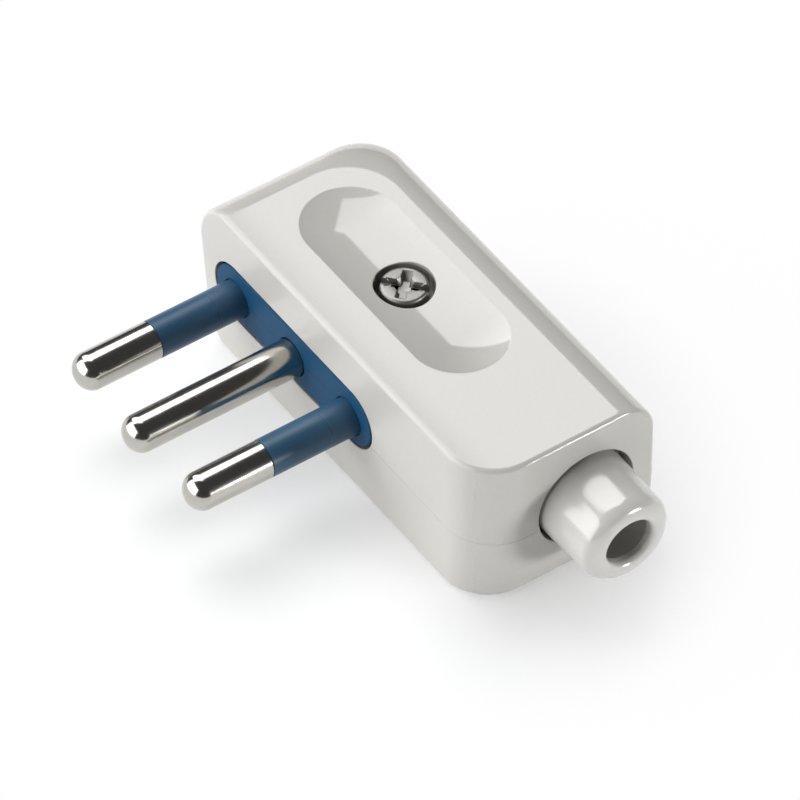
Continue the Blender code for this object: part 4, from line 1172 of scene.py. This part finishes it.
def cover_screw_mesh(sizes):
    """Return the cover screw: domed rim, cross recess with tapered walls, slot and thread."""
    low = NUT_RANGE[0] + GAP
    profile = [(AXIS_RADIUS, HEAD_TOP), (HEAD_RADIUS - HEAD_ROUNDING - HEAD_RING, HEAD_TOP)]
    profile += [(HEAD_RADIUS - HEAD_ROUNDING * side, HEAD_TOP - HEAD_ROUNDING * fall)
                for side, fall in quarter(SMALL_STEPS)]
    profile += [(HEAD_RADIUS, HEAD_SEAT + HEAD_SEAT_EDGE),
                (HEAD_RADIUS - HEAD_SEAT_EDGE, HEAD_SEAT), (SHANK_RADIUS, HEAD_SEAT),
                (SHANK_RADIUS, THREAD_TOP)]
    for index in range(int((THREAD_TOP - low - THREAD_PITCH) / THREAD_PITCH)):
        height = THREAD_TOP - THREAD_PITCH * (index + 0.5)
        profile += [(SHANK_RADIUS - THREAD_DEPTH, height),
                    (SHANK_RADIUS, height - THREAD_PITCH / 2)]
    profile += [(SHANK_RADIUS - SHANK_POINT, low), (AXIS_RADIUS, low)]
    cross = stacked([[(x, y, HEAD_TOP - depth) for x, y in star(*(size * part for size in CROSS))]
                     for part, depth in CROSS_LEVELS])
    core = turned([(radius, HEAD_TOP + rise) for radius, rise in CORE], (0.0, 0.0), "Z",
                  facets=FACETS // 2)
    half = sizes.slot_width / 2
    slot = block((-HEAD_RADIUS - OVERRUN, -half, HEAD_TOP - SLOT_DEPTH),
                 (HEAD_RADIUS + OVERRUN, half, HEAD_TOP + OVERRUN))
    mesh = machined("cover_screw_finished", turned(profile, (0.0, 0.0), "Z"),
                    [("DIFFERENCE", tool) for tool in (cross, core, slot)], SCREW_SHARP)
    mesh = eased(mesh, HEAD_EASING)
    mesh.transform(Matrix.Translation((*SCREW_PLACE, 0.0))
                   @ Matrix.Rotation(sizes.slot_angle, 4, "Z"))
    return mesh


def nut_mesh():
    """Return the hexagonal nut with chamfered corners and a threaded hole."""
    low, high = NUT_RANGE
    face = NUT_CORNER * math.cos(math.pi / 6) * NUT_FACE_SHARE
    wide = NUT_CORNER + NUT_MARGIN
    cone = turned([(face, low), (wide, low + NUT_CHAMFER), (wide, high - NUT_CHAMFER),
                   (face, high)], SCREW_PLACE, "Z")
    mouth = SHANK_RADIUS + FIT + NUT_MOUTH
    profile = [(mouth, low - GAP), (mouth, low)]
    height = low + NUT_MOUTH
    while height < high - THREAD_PITCH:
        profile += [(SHANK_RADIUS + NUT_THREAD_FIT, height),
                    (SHANK_RADIUS + FIT, height + THREAD_PITCH / 2)]
        height += THREAD_PITCH
    profile += [(SHANK_RADIUS + FIT, high + GAP)]
    thread = turned(profile, SCREW_PLACE, "Z", facets=FACETS * 2 // 3)
    hexagon = prism(circle(SCREW_PLACE, NUT_CORNER, 6), low, high, "Z")
    return machined("cover_nut_finished", hexagon,
                    [("INTERSECT", cone), ("DIFFERENCE", thread)], NUT_SHARP)


class PLUG_OT_shells(bpy.types.Operator):
    """Build the two glossy moulded shells"""

    bl_idname = "plug.shells"
    bl_label = "Shells"

    def execute(self, context):
        colour = context.scene.plug_colours.shell
        material = moulded_gloss("gloss_moulded_shell", colour, **SHELL_GLOSS)
        build_upper_shell(context.scene.plug_sizes, material)
        build_lower_shell(context.scene.plug_sizes, material)
        return {"FINISHED"}


class PLUG_OT_carrier(bpy.types.Operator):
    """Build the blue pin carrier"""

    bl_idname = "plug.carrier"
    bl_label = "Pin carrier"

    def execute(self, context):
        colour = context.scene.plug_colours.carrier
        build_carrier(moulded_satin("satin_blue_carrier", colour, **CARRIER_SATIN))
        return {"FINISHED"}


class PLUG_OT_pins(bpy.types.Operator):
    """Build the three nickel-plated pins"""

    bl_idname = "plug.pins"
    bl_label = "Pins"

    def execute(self, context):
        colour = context.scene.plug_colours.nickel
        material = plated_metal("bright_nickel_pins", colour, **PIN_PLATE)
        for name, x, sleeved in (("earth_pin", 0.0, False), ("line_pin", -PIN_PITCH, True),
                                 ("neutral_pin", PIN_PITCH, True)):
            mesh = pin_mesh(f"{name}_finished", x, node_box(name)[0].y, sleeved)
            add_piece(name, mesh, material)
        return {"FINISHED"}


class PLUG_OT_sleeves(bpy.types.Operator):
    """Build the insulating sleeves of the two outer pins"""

    bl_idname = "plug.sleeves"
    bl_label = "Sleeves"

    def execute(self, context):
        colour = context.scene.plug_colours.sleeve
        material = moulded_satin("satin_blue_sleeve", colour, **SLEEVE_SATIN)
        for name, x in (("line_sleeve", -PIN_PITCH), ("neutral_sleeve", PIN_PITCH)):
            add_piece(name, sleeve_mesh(f"{name}_finished", x), material)
        return {"FINISHED"}


class PLUG_OT_cover_screw(bpy.types.Operator):
    """Build the cover screw with its slotted cross head"""

    bl_idname = "plug.cover_screw"
    bl_label = "Cover screw"

    def execute(self, context):
        colour = context.scene.plug_colours.screw
        material = plated_metal("dull_cover_screw", colour, **SCREW_PLATE)
        mesh = cover_screw_mesh(context.scene.plug_sizes)
        add_piece("cover_screw", mesh, material)
        return {"FINISHED"}


class PLUG_OT_outlet(bpy.types.Operator):
    """Build the cord outlet bush"""

    bl_idname = "plug.outlet"
    bl_label = "Cord outlet"

    def execute(self, context):
        colour = context.scene.plug_colours.outlet
        material = moulded_gloss("gloss_cord_outlet", colour, **OUTLET_GLOSS)
        add_piece("cord_outlet", outlet_mesh(context.scene.plug_sizes), material)
        return {"FINISHED"}


class PLUG_OT_small_parts(bpy.types.Operator):
    """Finish the nut, the terminal screws, the clamp bar and its screws"""

    bl_idname = "plug.small_parts"
    bl_label = "Small parts"

    def execute(self, context):
        colours = context.scene.plug_colours
        zinc = plated_metal("dull_zinc_screws", colours.zinc, **ZINC_PLATE)
        add_piece("cover_nut", nut_mesh(), zinc)
        bar = moulded_satin("moulded_clamp_bar", colours.shell, **CLAMP_SATIN)
        for name, material in (
                ("cord_clamp_bar", bar), ("clamp_screw_front", zinc), ("clamp_screw_back", zinc),
                ("earth_terminal_screw", zinc), ("line_terminal_screw", zinc),
                ("neutral_terminal_screw", zinc)):
            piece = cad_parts[name]
            piece.data.materials.clear()
            piece.data.materials.append(material)
        return {"FINISHED"}


def placed(place, right, up, back):
    """Return the matrix of a thing at a place, from its three axes."""
    return Matrix.Translation(place) @ Matrix((right, up, back)).transposed().to_4x4()


def add_lamp(name, matrix, width, height, brightness):
    """Add a rectangular soft lamp whose face has one brightness."""
    light = bpy.data.lights.new(name, "AREA")
    light.shape, light.size, light.size_y = "RECTANGLE", width, height
    light.energy = brightness * width * height * math.pi
    linked(name, light).matrix_world = matrix


def add_aimed_lamp(name, lamp, aim, brightness):
    """Add a lamp from its place, width and height, facing a point."""
    offset, width, height = lamp
    centre = aim + Vector(offset)
    turn = (centre - aim).normalized().to_track_quat("Z", "Y").to_matrix().to_4x4()
    add_lamp(name, Matrix.Translation(centre) @ turn, width, height, brightness)


def add_key_lamp(aim, brightness):
    """Add the large soft lamp behind and left of the plug, by its corner and its two edges."""
    width, height = KEY_SIZE
    across, down = KEY_ACROSS.normalized(), KEY_DOWN.normalized()
    back = facing(across.cross(down), KEY_CORNER)
    centre = aim + KEY_CORNER + across * width / 2 + down * height / 2
    add_lamp("key_lamp", placed(centre, down.cross(back), down, back), width, height, brightness)


def floor_material(colour, near, far):
    """Return the floor's pale paper, lifted towards plain white where it is looked at.

    The lift grows with the distance from the plug, so that its shadow stays.
    """
    finish = Finish("pale_floor")
    cloud = finish.noise(60.0 * MM, 2.0, 0.5)
    tooth = finish.noise(0.4 * MM, 2.0, 0.5)
    tone = finish.blend(cloud, shade(colour, 0.995), shade(colour, 1.005))
    finish.bump(tooth, 5e-6)
    finish.set(Base_Color=tone, Roughness=0.9, Specular_IOR_Level=0.1)
    seen = finish.node("ShaderNodeLightPath", output="Is Camera Ray")
    for kind in ("Is Glossy Ray", "Is Transmission Ray"):
        seen = seen + finish.node("ShaderNodeLightPath", output=kind)
    white = finish.node("ShaderNodeEmission", Color=WHITE, Strength=1.0)
    paper = Value(finish.tree, finish.shader.outputs[0])
    distance = finish.distance(finish.own())
    lift = near + finish.band(distance, *LIFT_BAND) * (far - near)
    finish.show(seen * lift, paper, white)
    return finish.material


def add_floor(colour, near, far):
    """Add the wide pale floor that the plug lies on."""
    disc = prism(circle((0.0, 0.0), FLOOR_RADIUS), -FLOOR_DEPTH, 0.0, "Z")
    mesh = plain_mesh("floor", disc)
    mesh.materials.append(floor_material(colour, near, far))
    floor = linked("floor", mesh)


def add_camera():
    """Add the camera at the photograph's viewing angle."""
    back = Vector((math.sin(VIEW_AZIMUTH) * math.cos(VIEW_ELEVATION),
                   -math.cos(VIEW_AZIMUTH) * math.cos(VIEW_ELEVATION), math.sin(VIEW_ELEVATION)))
    level_right = (-back).cross(Vector((0.0, 0.0, 1.0))).normalized()
    level_up = level_right.cross(-back)
    right = level_right * math.cos(VIEW_ROLL) + level_up * math.sin(VIEW_ROLL)
    up = level_up * math.cos(VIEW_ROLL) - level_right * math.sin(VIEW_ROLL)
    data = bpy.data.cameras.new("camera")
    data.lens, data.sensor_width = LENS, SENSOR_WIDTH
    data.clip_start, data.clip_end = CLIP
    camera = linked("camera", data)
    camera.matrix_world = placed(
        DATUM + VIEW_TARGET + back * VIEW_DISTANCE + right * VIEW_SIDE + up * VIEW_RISE,
        right, up, back)
    bpy.context.scene.camera = camera


class PLUG_OT_studio(bpy.types.Operator):
    """Add the pale floor, the soft lamps, the dim room and the camera"""

    bl_idname = "plug.studio"
    bl_label = "Studio"

    def execute(self, context):
        studio = context.scene.plug_studio
        context.scene.view_settings.view_transform = "Standard"
        world = bpy.data.worlds.new("studio")
        world.use_nodes = True
        background = world.node_tree.nodes["Background"]
        background.inputs["Color"].default_value = WHITE
        background.inputs["Strength"].default_value = studio.room_level
        context.scene.world = world
        add_floor(studio.floor, studio.near_lift, studio.far_lift)
        aim = DATUM + VIEW_TARGET
        add_key_lamp(aim, studio.key_level)
        add_aimed_lamp("front_lamp", FRONT_LAMP, aim, studio.front_level)
        add_aimed_lamp("side_lamp", SIDE_LAMP, aim, studio.side_level)
        add_camera()
        return {"FINISHED"}


class PLUG_PT_looks(bpy.types.Panel):
    """The plug's pieces, sizes and colours"""

    bl_label = "Earthed plug"
    bl_idname = "PLUG_PT_looks"
    bl_space_type = "VIEW_3D"
    bl_region_type = "UI"
    bl_category = "Plug"

    def draw(self, context):
        for operator in OPERATORS:
            self.layout.operator(operator.bl_idname)
        for group in (context.scene.plug_sizes, context.scene.plug_colours,
                      context.scene.plug_studio):
            for name in group.__annotations__:
                self.layout.prop(group, name)


OPERATORS = (PLUG_OT_shells, PLUG_OT_carrier, PLUG_OT_pins, PLUG_OT_sleeves, PLUG_OT_cover_screw,
             PLUG_OT_outlet, PLUG_OT_small_parts, PLUG_OT_studio)
CLASSES = (PlugSizes, PlugColours, PlugStudio, *OPERATORS, PLUG_PT_looks)


def register():
    """Register the classes and the scene's three groups of properties."""
    for item in CLASSES:
        bpy.utils.register_class(item)
    bpy.types.Scene.plug_sizes = bpy.props.PointerProperty(type=PlugSizes)
    bpy.types.Scene.plug_colours = bpy.props.PointerProperty(type=PlugColours)
    bpy.types.Scene.plug_studio = bpy.props.PointerProperty(type=PlugStudio)


def unregister():
    """Remove the scene's properties and the classes."""
    del bpy.types.Scene.plug_sizes, bpy.types.Scene.plug_colours, bpy.types.Scene.plug_studio
    for item in reversed(CLASSES):
        bpy.utils.unregister_class(item)


def main():
    """Build every piece and the studio."""
    register()
    bpy.ops.plug.shells()
    bpy.ops.plug.carrier()
    bpy.ops.plug.pins()
    bpy.ops.plug.sleeves()
    bpy.ops.plug.cover_screw()
    bpy.ops.plug.outlet()
    bpy.ops.plug.small_parts()
    bpy.ops.plug.studio()


if __name__ == "__main__":
    main()
